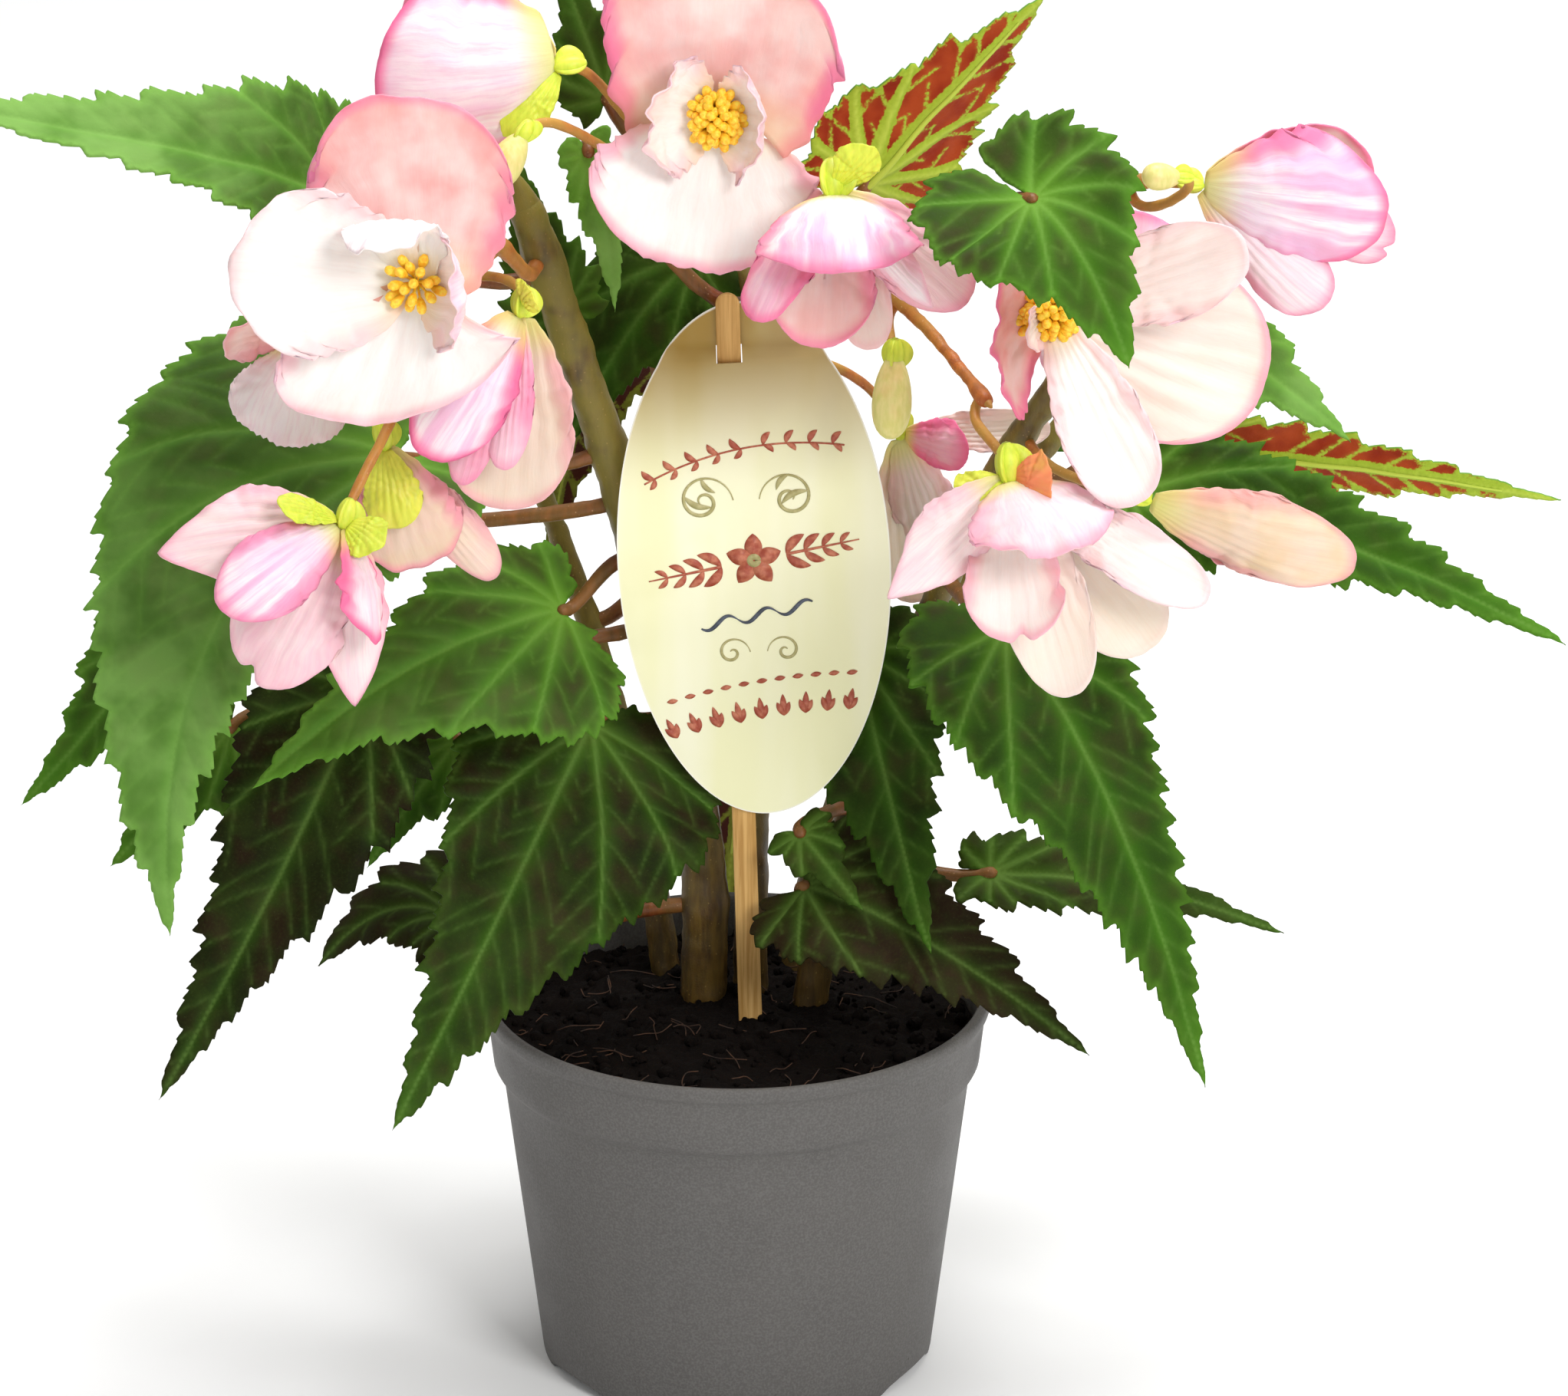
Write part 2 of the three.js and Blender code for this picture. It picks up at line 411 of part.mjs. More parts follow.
// The inner wall's rows of the profile, from the top down.
const INNER_WALL_ROWS = [11, 15];

function potInnerRadius(z) {
  const wall = potProfile().slice(...INNER_WALL_ROWS);
  for (let i = 1; i < wall.length; i++) {
    const [[r1, z1], [r0, z0]] = [wall[i - 1], wall[i]];
    if (z >= z0) return r0 + ((r1 - r0) * (z - z0)) / (z1 - z0);
  }
  return wall[wall.length - 1][0];
}

function turned(profile, sides) {
  const lathe = new THREE.LatheGeometry(profile.map(([r, z]) => new THREE.Vector2(r, z)), sides);
  return lathe.rotateX(Math.PI / 2);
}

function makePot() {
  let pot = toSolid(turned(potProfile(), POT_SIDES));
  for (let i = 0; i < FOOT_ARCHES; i++) {
    const turn = radians(FIRST_ARCH_DEG + (360 / FOOT_ARCHES) * i);
    const arch = new THREE.CylinderGeometry(ARCH_WIDTH / 2, ARCH_WIDTH / 2, CUTTER_LENGTH, ARCH_SIDES);
    arch.rotateZ(Math.PI / 2).scale(1, 1, ARCH_HEIGHT / (ARCH_WIDTH / 2));
    arch.translate(BASE_RADIUS - ARCH_CUTTER_INSET, 0, 0).rotateZ(turn);
    pot = pot.subtract(toSolid(arch));
  }
  for (let i = 0; i < DRAIN_HOLES; i++) {
    const turn = radians((360 / DRAIN_HOLES) * i);
    const drill = new THREE.CylinderGeometry(DRAIN_RADIUS, DRAIN_RADIUS, CUTTER_LENGTH, DRAIN_SIDES);
    drill.rotateX(Math.PI / 2).translate(DRAIN_CIRCLE_RADIUS, 0, FOOT_HEIGHT).rotateZ(turn);
    pot = pot.subtract(toSolid(drill));
  }
  return toGeometry(pot);
}

// ---------- soil, with a socket for each stem and for the stick ----------
function makeSoil(planted) {
  const bottom = FOOT_HEIGHT + FLOOR_THICKNESS + GAP;
  const wallAt = (z) => potInnerRadius(z) - GAP;
  const profile = [
    [0, bottom],
    [wallAt(bottom), bottom],
    [wallAt(BODY_TOP_Z), BODY_TOP_Z],
    [wallAt(COLLAR_BOTTOM_Z), COLLAR_BOTTOM_Z],
    [wallAt(SOIL_EDGE_Z), SOIL_EDGE_Z],
    [SOIL_SHOULDER_RADIUS, SOIL_SHOULDER_Z],
    [SOIL_CROWN_RADIUS, SOIL_CROWN_Z],
    [0, SOIL_MIDDLE_Z],
  ];
  const soil = toSolid(turned(profile, POT_SIDES));
  return toGeometry(planted.reduce((rest, item) => rest.subtract(toSolid(item)), soil));
}

// ---------- label ----------
// A flat stick, pointed below and rounded above, standing on the X-Z plane from its foot.
function stickShape(grow) {
  const half = STICK_WIDTH / 2 + grow;
  const shape = new THREE.Shape();
  shape.moveTo(0, -grow);
  shape.lineTo(half, STICK_POINT_LENGTH);
  shape.lineTo(half, STICK_LENGTH - half);
  shape.absarc(0, STICK_LENGTH - half, half, 0, Math.PI, false);
  shape.lineTo(-half, STICK_POINT_LENGTH);
  shape.closePath();
  return shape;
}

function makeStick(grow) {
  const depth = STICK_THICKNESS + 2 * grow;
  const extrusion = { depth, bevelEnabled: false, curveSegments: STICK_ARC_STEPS };
  const stick = new THREE.ExtrudeGeometry(stickShape(grow), extrusion);
  stick.translate(0, 0, -depth / 2).rotateX(Math.PI / 2);
  stick.rotateY(radians(STICK_LEAN_DEG)).translate(STICK_FOOT_X, STICK_Y, STICK_FOOT_Z);
  return stick;
}

// An oval card whose slot lets the stick through: it hangs before the stick below the slot and
// behind it above.
function makeCard() {
  const shape = new THREE.Shape();
  shape.absellipse(0, 0, CARD_WIDTH / 2, CARD_HEIGHT / 2, 0, 2 * Math.PI, false, 0);
  const slot = new THREE.Path();
  const low = SLOT_ABOVE_CENTRE - SLOT_HEIGHT / 2;
  const high = SLOT_ABOVE_CENTRE + SLOT_HEIGHT / 2;
  const left = -SLOT_LEFT_OF_CENTRE - SLOT_WIDTH / 2;
  slot.moveTo(left, low);
  slot.lineTo(left, high);
  slot.lineTo(left + SLOT_WIDTH, high);
  slot.lineTo(left + SLOT_WIDTH, low);
  slot.closePath();
  shape.holes.push(slot);
  const extrusion = { depth: CARD_THICKNESS, bevelEnabled: false, curveSegments: CARD_ARC_STEPS };
  const card = new THREE.ExtrudeGeometry(shape, extrusion);
  card.translate(0, 0, -CARD_THICKNESS / 2);
  const position = card.attributes.position;
  const offset = (STICK_THICKNESS + CARD_THICKNESS) / 2 + GAP;
  for (let i = 0; i < position.count; i++) {
    const rise = THREE.MathUtils.clamp((position.getY(i) - low) / SLOT_HEIGHT, 0, 1);
    position.setZ(i, position.getZ(i) + offset * (1 - 2 * rise));
  }
  card.rotateX(Math.PI / 2).rotateY(radians(CARD_LEAN_DEG));
  card.translate(CARD_CENTRE[0], STICK_Y, CARD_CENTRE[1]);
  return card;
}

// ---------- leaves ----------
// Rows of the blade's outline: along the midrib, then the edge's place along and across it.
const RIB_STATIONS = [0, 0, 0.14, 0.32, 0.5, 0.68, 0.85, 1];
const edgeStations = (lobe) => [
  [-lobe, LOBE_GAP - LOBE_CLOSING * lobe], [-0.9 * lobe, 0.72],
  [0.1, 1], [0.32, 0.86], [0.5, 0.6], [0.68, 0.36], [0.85, 0.16], [1, 0],
];

function ribCurve([base, middle, tip]) {
  const [start, end] = [vector(base), vector(tip)];
  const control = vector(middle).multiplyScalar(2).addScaledVector(start, -0.5).addScaledVector(end, -0.5);
  return new THREE.QuadraticBezierCurve3(start, control, end);
}

function bladePoint(rib, length, leaf, along, across) {
  const u = THREE.MathUtils.clamp(along, 0, 1);
  const tangent = rib.getTangent(u);
  const up = squareTo(vector(leaf.face), tangent);
  const side = tangent.clone().cross(up);
  const fold = radians(leaf.fold);
  return rib.getPoint(u)
    .addScaledVector(tangent, (along - u) * length)
    .addScaledVector(side, across * Math.cos(fold))
    .addScaledVector(up, Math.abs(across) * Math.sin(fold));
}

function makeBlade(leaf, rib) {
  const length = rib.getLength();
  const points = [];
  const faces = [];
  const ribIndex = RIB_STATIONS.map((along, row) => {
    if (row === 1) return 0;
    points.push(bladePoint(rib, length, leaf, along, 0));
    return points.length - 1;
  });
  for (const side of [1, -1]) {
    const half = side > 0 ? leaf.half[0] : leaf.half[1];
    const edgeIndex = edgeStations(leaf.lobe).map(([along, across], row) => {
      if (row === RIB_STATIONS.length - 1) return ribIndex[row];
      points.push(bladePoint(rib, length, leaf, along, side * across * half));
      return points.length - 1;
    });
    for (let row = 1; row < RIB_STATIONS.length; row++) {
      const corners = [ribIndex[row - 1], ribIndex[row], edgeIndex[row], edgeIndex[row - 1]];
      for (const face of [[0, 3, 2], [0, 2, 1]]) {
        const [a, b, c] = face.map((k) => corners[k]);
        if (a === b || b === c || a === c) continue;
        faces.push(side > 0 ? [a, b, c] : [a, c, b]);
      }
    }
  }
  return sheet(points, faces, BLADE_THICKNESS);
}

function makeLeaf(leaf) {
  const rib = ribCurve(leaf.rib);
  const tangent = rib.getTangent(0);
  const up = squareTo(vector(leaf.face), tangent);
  const arrival = tangent.clone().addScaledVector(up, PETIOLE_RISE).normalize();
  const petiole = shootCurve(leaf.from, rib.getPoint(0), arrival);
  const bar = taperedBar(petiole, PETIOLE_RADIUS, PETIOLE_RADIUS, PETIOLE_SIDES, PETIOLE_STEPS);
  return joined([makeBlade(leaf, rib), bar]);
}

// ---------- flowers ----------
// Rows across a petal: the place along it, and the width there as a share of the full width.
const PETAL_ROWS = [[0, 0.25], [0.35, 0.8], [0.75, 1], [1, 0.45]];

function makePetal(heart, [tip, face, width, bow, cup]) {
  const end = vector(tip);
  const root = end.clone().setLength(PETAL_ROOT_RADIUS);
  const inner = squareTo(vector(face), end.clone().normalize());
  const control = root.clone().add(end).multiplyScalar(0.5).addScaledVector(inner, -2 * bow);
  const spine = new THREE.QuadraticBezierCurve3(root, control, end);
  const points = [];
  const faces = [];
  for (const [along, share] of PETAL_ROWS) {
    const ahead = spine.getTangent(along);
    const inward = squareTo(vector(face), ahead);
    const across = inward.clone().cross(ahead);
    const middle = spine.getPoint(along).add(heart);
    for (const side of [-1, 0, 1]) {
      const reach = (side * share * width) / 2;
      points.push(middle.clone().addScaledVector(across, reach)
        .addScaledVector(inward, Math.abs(reach) * cup * share));
    }
  }
  for (let row = 1; row < PETAL_ROWS.length; row++) {
    for (let column = 0; column < 2; column++) {
      const a = (row - 1) * 3 + column;
      faces.push([a, a + 3, a + 4], [a, a + 4, a + 1]);
    }
  }
  return sheet(points, faces, PETAL_THICKNESS);
}

// An egg shape whose middle lies some way ahead of the heart.
function makeEgg(heart, axis, radius, length, ahead) {
  const egg = new THREE.SphereGeometry(1, EGG_SIDES, EGG_RINGS).scale(radius, length / 2, radius);
  const turn = new THREE.Quaternion().setFromUnitVectors(new THREE.Vector3(0, 1, 0), axis);
  egg.applyQuaternion(turn);
  const middle = heart.clone().addScaledVector(axis, ahead);
  return egg.translate(middle.x, middle.y, middle.z);
}

function makeFlower(flower) {
  const heart = vector(flower.heart);
  const axis = vector(flower.facing).normalize();
  const pedicel = shootCurve(flower.from, heart, axis);
  return joined([
    makeEgg(heart, axis, flower.ovary, flower.ovary * OVARY_STRETCH, 0),
    taperedBar(pedicel, PEDICEL_RADIUS, PEDICEL_RADIUS, PEDICEL_SIDES, PEDICEL_STEPS),
    ...flower.petals.map((petal) => makePetal(heart, petal)),
  ]);
}

function makeBud(bud) {
  const heart = vector(bud.heart);
  const axis = vector(bud.facing).normalize();
  const pedicel = shootCurve(bud.from, heart, axis);
  return joined([
    makeEgg(heart, axis, bud.r, bud.length, bud.length * BUD_AHEAD),
    taperedBar(pedicel, PEDICEL_RADIUS, PEDICEL_RADIUS, PEDICEL_SIDES, PEDICEL_STEPS),
  ]);
}

// ---------- assembly ----------
for (const [name, { points, r }] of Object.entries(STEMS)) {
  branches[name] = { curve: new THREE.CatmullRomCurve3(points.map(vector)), r };
}
for (const [name, { from, points, r }] of Object.entries(STALKS)) {
  const { start, outward } = budPoint(from, vector(points[0]));
  const lead = start.clone().addScaledVector(outward, STALK_LEAD);
  branches[name] = { curve: new THREE.CatmullRomCurve3([start, lead, ...points.map(vector)]), r };
}

addMesh('pot', makePot(), POT_GREY);
const planted = Object.keys(STEMS).map((name) => {
  const { curve, r } = branches[name];
  return taperedBar(curve, r[0] + GAP, r[1] + GAP, STEM_SIDES, STEM_STEPS);
});
addMesh('soil', makeSoil([...planted, makeStick(GAP)]), PEAT);
addMesh('label_stick', makeStick(0), BIRCH);
addMesh('label_card', makeCard(), CARD_CREAM);
for (const name of Object.keys(STEMS)) {
  const { curve, r } = branches[name];
  addMesh(name, taperedBar(curve, r[0], r[1], STEM_SIDES, STEM_STEPS), STEM_BROWN);
}
for (const name of Object.keys(STALKS)) {
  const { curve, r } = branches[name];
  addMesh(name, taperedBar(curve, r[0], r[1], STALK_SIDES, STALK_STEPS), STALK_ORANGE);
}
for (const [name, leaf] of Object.entries(LEAVES)) {
  addMesh(name, makeLeaf(leaf), LEAF_GREEN);
}
for (const [name, flower] of Object.entries(FLOWERS)) {
  addMesh(name, makeFlower(flower), PETAL_PINK);
}
for (const [name, bud] of Object.entries(BUDS)) {
  addMesh(name, makeBud(bud), BUD_GREEN);
}

export default part;
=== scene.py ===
"""Potted begonia: the finished look of the plant, its pot and its label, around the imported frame.

Lengths are millimetres here and become metres when a piece is made. +Z is up and -Y is the front.
"""
import math

import bmesh
import bpy
import numpy as np
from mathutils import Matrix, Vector, noise
from mathutils.geometry import delaunay_2d_cdt
from mathutils.kdtree import KDTree


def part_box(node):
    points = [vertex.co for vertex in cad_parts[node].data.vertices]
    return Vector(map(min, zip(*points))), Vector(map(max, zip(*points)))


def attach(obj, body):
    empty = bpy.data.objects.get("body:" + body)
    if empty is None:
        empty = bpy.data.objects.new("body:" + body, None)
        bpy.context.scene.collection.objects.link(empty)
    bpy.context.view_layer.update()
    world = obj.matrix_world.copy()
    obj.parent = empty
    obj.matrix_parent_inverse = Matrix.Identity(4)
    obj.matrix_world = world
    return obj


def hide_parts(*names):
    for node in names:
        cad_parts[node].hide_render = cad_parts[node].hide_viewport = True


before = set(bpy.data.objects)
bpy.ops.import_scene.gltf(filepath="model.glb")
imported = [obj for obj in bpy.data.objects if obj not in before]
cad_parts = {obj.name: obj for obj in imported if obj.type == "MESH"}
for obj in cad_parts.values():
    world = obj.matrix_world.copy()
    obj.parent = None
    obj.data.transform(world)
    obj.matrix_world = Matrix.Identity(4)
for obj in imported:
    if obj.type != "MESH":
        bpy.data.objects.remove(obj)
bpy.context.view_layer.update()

MM = 0.001


def box_mm(node):
    """A node's lowest and highest corners, in millimetres."""
    return np.array(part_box(node)) / MM


# ---------- driving dimensions ----------
POT_HEIGHT = box_mm("pot")[1][2]
RIM_RADIUS = box_mm("pot")[1][0]
POT_WALL = 1.6
LIP_HEIGHT = 4
LIP_THICKENING = 1.6  # how much the rolled lip stands out past the collar's wall
COLLAR_BOTTOM_Z, COLLAR_BOTTOM_RADIUS = 75, 57.4
BODY_TOP_Z, BODY_TOP_RADIUS = 72.5, 55.2
BASE_RADIUS = 46.2
INNER_BASE_RADIUS = BASE_RADIUS + 0.6 - POT_WALL
FOOT_HEIGHT = 3
FOOT_RING_RADIUS = 40
FLOOR_THICKNESS = 2.4
FLOOR_TOP_Z = FOOT_HEIGHT + FLOOR_THICKNESS
FOOT_ARCHES, FIRST_ARCH_DEG, ARCH_WIDTH, ARCH_HEIGHT = 6, 34, 24, 2.4
DRAIN_HOLES, DRAIN_RADIUS, DRAIN_CIRCLE_RADIUS = 6, 4, 28

SOIL_EDGE_Z = 81.5
SOIL_MIDDLE_Z = 84.5
SOIL_MOUND_RADIUS = 55
SOIL_WALL_Z = 40  # a height on the pot's straight wall
CLOD_SIZE, CLOD_HEIGHT = 9, 1.6
CRUMBS, CRUMB_RADIUS, CRUMB_SPREAD = 420, 0.5, 1.5
ROOT_FIBRES, FIBRE_LENGTH, FIBRE_SPREAD, FIBRE_RADIUS = 90, 3, 9, 0.14
GAP = 0.3

STICK_WIDTH, STICK_THICKNESS, STICK_LENGTH = 5.5, 1.4, 237
STICK_POINT_LENGTH, STICK_BEVEL = 9, 0.25
STICK_FOOT = (4.9, -2, 28)
STICK_LEAN_DEG = -1.62
CARD_WIDTH, CARD_HEIGHT, CARD_THICKNESS = 63, 125, 0.7
CARD_CENTRE = (4.3, -2, 200)
CARD_LEAN_DEG = -2.9
SLOT_WIDTH, SLOT_HEIGHT, SLOT_ABOVE_CENTRE, SLOT_LEFT_OF_CENTRE = 5.9, 3.6, 50.5, 3.1
SLOT_LEFT = -SLOT_LEFT_OF_CENTRE - SLOT_WIDTH / 2
SLOT_BOTTOM = SLOT_ABOVE_CENTRE - SLOT_HEIGHT / 2
PRINT_LIFT = 0.05  # how far the printed ink lies over the card's face
PRINT_THICKNESS = 0.02
PRINT_STEP, PRINT_STEPS = 0.002, 25  # how much further out each later stroke lies, and how many do

JOINT_SWELL, JOINT_REACH = 0.5, 4  # how far a knot stands out, and its reach along the stem
STEM_EASE = 0.1  # how far a stem's skin lies within its radius between its knots
STEM_LUMPS = 0.35
PETIOLE_RADIUS = 1.8
PEDICEL_RADIUS = 1.1
PETAL_ROOT_RADIUS = 1.8
LEAF_THICKNESS = 0.5
PETAL_THICKNESS = 0.35
STAMEN_RADIUS, ANTHER_RADIUS, ANTHER_LENGTH = 0.3, 1.15, 4.4

# How finely the pieces are made: numbers of points round and along them, and spacings.
POT_SIDES, DRAIN_SIDES = 180, 24
SOIL_RINGS, SOIL_SIDES = ((80, 240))
CARD_SIDES, CARD_GRID, CARD_RIM = 160, 2.0, 0.45
STEM_SIDES, STEM_SPACING = ((18, 1.3))
LEAF_GRID = 0.85
PETAL_ROWS, PETAL_COLUMNS = ((40, 41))

# ---------- camera and light ----------
CAMERA_TARGET = (11.2, 0, 165)
CAMERA_ELEVATION_DEG = 21.3
CAMERA_DISTANCE = 2000
CAMERA_SENSOR = 36
CAMERA_FAR = 20  # metres
FOCAL_PIXELS, PHOTO_WIDTH = 11214.4, 2044
SKY_STRENGTH = 0.52
FLOOR_SIZE = 12  # metres, as the lights' places and sizes are
LIGHT_TARGET = (0, 0, 0.18)
SOFTBOXES = {  # place, size and power in watts
    "key_light": ((0.9, -1.5, 1.3), 0.7, 22),
    "fill_light": ((-1.4, -1.1, 0.7), 1.0, 1),
    "top_light": ((0.2, 0.3, 1.8), 0.9, 26),
}

# ---------- the plant ----------
# Stems: points along the middle line, and the radius at the foot and at the end.
STEMS = {
    "stem_left": ([(-9, 12, 62), (-8, 13, 120), (-24, 8, 205), (-37, 2, 250), (-47, -4, 285)], (5.8, 4.2)),
    "stem_middle": ([(3, 17, 62), (4, 18, 130), (8, 16, 200), (6, 8, 255), (-6, -6, 300)], (4.4, 2.4)),
    "stem_right": ([(14, 8, 62), (24, 12, 120), (42, 14, 172), (58, 12, 212), (75, 4, 244), (86, -8, 290)],
                   (4.4, 2.4)),
    "stem_back_left": ([(-14, 26, 62), (-24, 40, 125), (-42, 54, 185), (-62, 70, 228)], (3.8, 2.2)),
    "stem_back_right": ([(8, 30, 62), (24, 46, 120), (50, 62, 165), (78, 72, 208)], (3.8, 2.2)),
}

# Flower stalks: the stem and how far along it, the points that follow, two radii.
STALKS = {
    "stalk_left": (("stem_left", 0.95), [(-55, -24, 284), (-66, -38, 276), (-77, -48, 262)], (1.9, 1.4)),
    "stalk_top": (("stem_middle", 0.97), [(-14, -20, 310), (-18, -27, 320)], (1.9, 1.5)),
    "stalk_middle": (("stem_middle", 0.84), [(26, 3, 270), (42, -26, 266), (56, -56, 258)], (1.9, 1.4)),
    "stalk_right": (("stem_right", 0.96), [(89, -24, 298), (92, -34, 302)], (1.9, 1.4)),
}

# Leaves: where the petiole grows; the blade's joint, middle and tip; the way its upper side faces;
# the half widths right and left of the midrib; the fold; the reach of the basal lobes; and the
# tone, as shares of bronze and of fresh green. The share of fresh green also carries painted light:
# a painted sheen on the upper side, and painted shade on the underside where the share is low.
LEAVES = {
    "leaf_01": (("stem_left", 0.93), [(-90, -12, 290), (-122, -25, 306), (-189, -38, 322)],
                (0.1, -0.6, 0.8), (24, 17), 14, 0.14, (0.1, 0.85)),
    "leaf_02": (("stem_middle", 0.88), [(30, -5, 292), (49, -3, 313), (70, 0, 335)],
                (-0.2, 0.85, 0.5), (20, 22), 12, 0.1, (0.2, 0.7)),
    "leaf_03": (("stem_right", 0.9), [(65, -84, 314), (76, -95, 304), (86, -104, 282)],
                (0.1, -0.75, 0.65), (26, 20), 10, 0.4, (0.45, 0.52)),
    "leaf_04": (("stem_right", 0.76), [(98, 20, 219), (143, 14, 217), (191, 8, 211)],
                (0, 0.9, 0.35), (11, 13), 10, 0.06, (0.3, 0.7)),
    "leaf_05": (("stem_right", 0.7), [(91, 2, 215), (138, -12, 208), (190, -26, 188)],
                (0.1, -0.75, 0.65), (15, 17), 8, 0.04, (0.1, 0.4)),
    "leaf_06": (("stem_right", 0.85), [(105, -12, 259), (122, -18, 250), (140, -22, 236)],
                (0.1, -0.75, 0.65), (11, 11), 8, 0.12, (0.2, 0.7)),
    "leaf_07": (("stem_right", 0.55), [(62, -24, 192), (87, -55, 156), (107, -72, 98)],
                (0.3, -0.85, 0.35), (27, 19), 8, 0.1, (0.25, 0.35)),
    "leaf_08": (("stem_middle", 0.5), [(28, 6, 175), (36, -8, 143), (45, -34, 115)],
                (-0.35, -0.85, 0.3), (18, 18), 8, 0.1, (0.3, 0.1)),
    "leaf_09": (("stem_right", 0.2), [(16, -8, 121), (45, -26, 114), (82, -38, 91)],
                (0.1, -0.7, 0.7), (19, 19), 8, 0.06, (1.0, 0.0)),
    "leaf_10": (("stem_right", 0.25), [(60, 12, 116), (94, 10, 113), (129, 4, 104)],
                (0, -0.6, 0.8), (9, 9), 12, 0.1, (0.9, 0.1)),
    "leaf_11": (("stem_left", 0.42), [(-34, 1, 158), (-53, -32, 127), (-78, -74, 88)],
                (0.25, -0.85, 0.4), (27, 36), 5, 0.08, (0.55, 0.12)),
    "leaf_12": (("stem_left", 0.52), [(-86, -6, 169), (-107, -24, 127), (-133, -48, 84)],
                (-0.2, -0.9, 0.3), (23, 20), 8, 0.1, (0.55, 0.0)),
    "leaf_13": (("stem_left", 0.72), [(-77, -5, 226), (-118, -52, 200), (-128, -64, 132)],
                (-0.3, -0.85, 0.4), (48, 24), 6, 0.12, (0.15, 0.72)),
    "leaf_14": (("stem_left", 0.66), [(-133, 15, 180), (-149, 12, 156), (-168, 10, 134)],
                (-0.2, -0.8, 0.5), (12, 12), 8, 0.1, (0.2, 0.4)),
    "leaf_15": (("stem_back_left", 0.4), [(-119, 22, 149), (-133, 20, 132), (-148, 16, 116)],
                (-0.2, -0.8, 0.5), (12, 12), 8, 0.1, (0.3, 0.3)),
    "leaf_16": (("stem_left", 0.6), [(-40, 2, 186), (-74, -19, 180), (-110, -44, 160)],
                (-0.1, -0.75, 0.65), (18, 33), 8, 0.05, (0.45, 0.6)),
    "leaf_17": (("stem_back_left", 0.3), [(-65, 15, 149), (-76, 12, 135), (-87, 10, 118)],
                (-0.2, -0.9, 0.3), (10, 9), 8, 0.1, (0.2, 0.2)),
    "leaf_18": (("stem_left", 0.2), [(-67, 8, 106), (-83, 10, 107), (-99, 12, 92)],
                (-0.1, -0.5, 0.85), (15, 13), 8, 0.1, (1.0, 0.0)),
    "leaf_19": (("stem_middle", 0.62), [(-9, 21, 266), (-24, 17, 250), (-40, 11, 222)],
                (-0.1, -0.9, 0.4), (19, 17), 6, 0.12, (0.35, 0.2)),
    "leaf_20": (("stem_middle", 0.82), [(-33, -6, 300), (-29, -12, 283), (-27, -16, 265)],
                (-0.1, -0.95, 0.2), (6, 6), 10, 0.1, (0, 0.9)),
    "leaf_21": (("stem_right", 0.3), [(15, -7, 134), (21, -14, 129), (30, -22, 120)],
                (0, -0.8, 0.6), (7, 7), 8, 0.1, (0.6, 0.05)),
    "leaf_22": (("stem_middle", 0.93), [(-29, 5, 309), (-34, 8, 324), (-39, 12, 337)],
                (-0.2, -0.9, 0.2), (10, 10), 10, 0.1, (0.6, 0.2)),
    "leaf_23": (("stem_left", 0.85), [(-39, 10, 257), (-45, 12, 273), (-49, 13, 292)],
                (0.2, -0.95, 0), (9, 11), 10, 0.1, (0.8, 0.25)),
    "leaf_24": (("stem_back_left", 0.9), [(-84, 76, 208), (-106, 92, 198), (-126, 104, 166)],
                (-0.4, 0.6, 0.7), (26, 24), 8, 0.12, (0.3, 0.4)),
    "leaf_25": (("stem_back_right", 0.9), [(88, 76, 200), (102, 90, 190), (109, 104, 164)],
                (0.4, 0.6, 0.7), (20, 22), 8, 0.12, (0.2, 0.5)),
    "leaf_26": (("stem_back_left", 0.6), [(-24, 66, 236), (-36, 82, 212), (-46, 92, 166)],
                (-0.1, 0.85, 0.5), (22, 24), 8, 0.12, (0.4, 0.15)),
    "leaf_27": (("stem_back_right", 0.45), [(48, 74, 150), (66, 92, 138), (78, 104, 98)],
                (0.4, 0.6, 0.7), (26, 24), 8, 0.12, (0.2, 0.4)),
    "leaf_28": (("stem_middle", 0.55), [(8, 70, 172), (3, 96, 132), (-4, 105, 60)],
                (0, 0.8, 0.6), (24, 26), 8, 0.12, (0.3, 0.2)),
}


def petal(tip, face, width, bow, cup, **style):
    """A petal: its tip from the heart, the way its inner side looks, its width, how far its middle
    bulges outward and how deep it is cupped. Its style gives what differs from PETAL_STYLE."""
    return np.array(tip, float), np.array(face, float), width, bow, cup, {**PETAL_STYLE, **style}


# A petal's further shape: the sharpness of its tip (0 to 1); where its sides end and its tip begins;
# its width at its root, as a share; how soon it widens (smaller is sooner); the height of its ruffle,
# teeth and pleats and the depth of its notch; how far its lower corners reach back; and how much
# further one side reaches. Then its tints: blush, a hot pink margin, lilac, a beige that is partly the
# petal's own tint and partly painted shade on petals in shadow, and the skin.
PETAL_STYLE = {
    "point": 0, "belly": 0.62, "root": 0.22, "shoulder": 0.85, "ruffle": 0.8, "teeth": 0.12, "pleats": 0.18,
    "notch": 0, "ears": 0, "skew": 0, "blush": 0, "hot": 0, "lilac": 0, "warm": 0, "skin": "petal"}

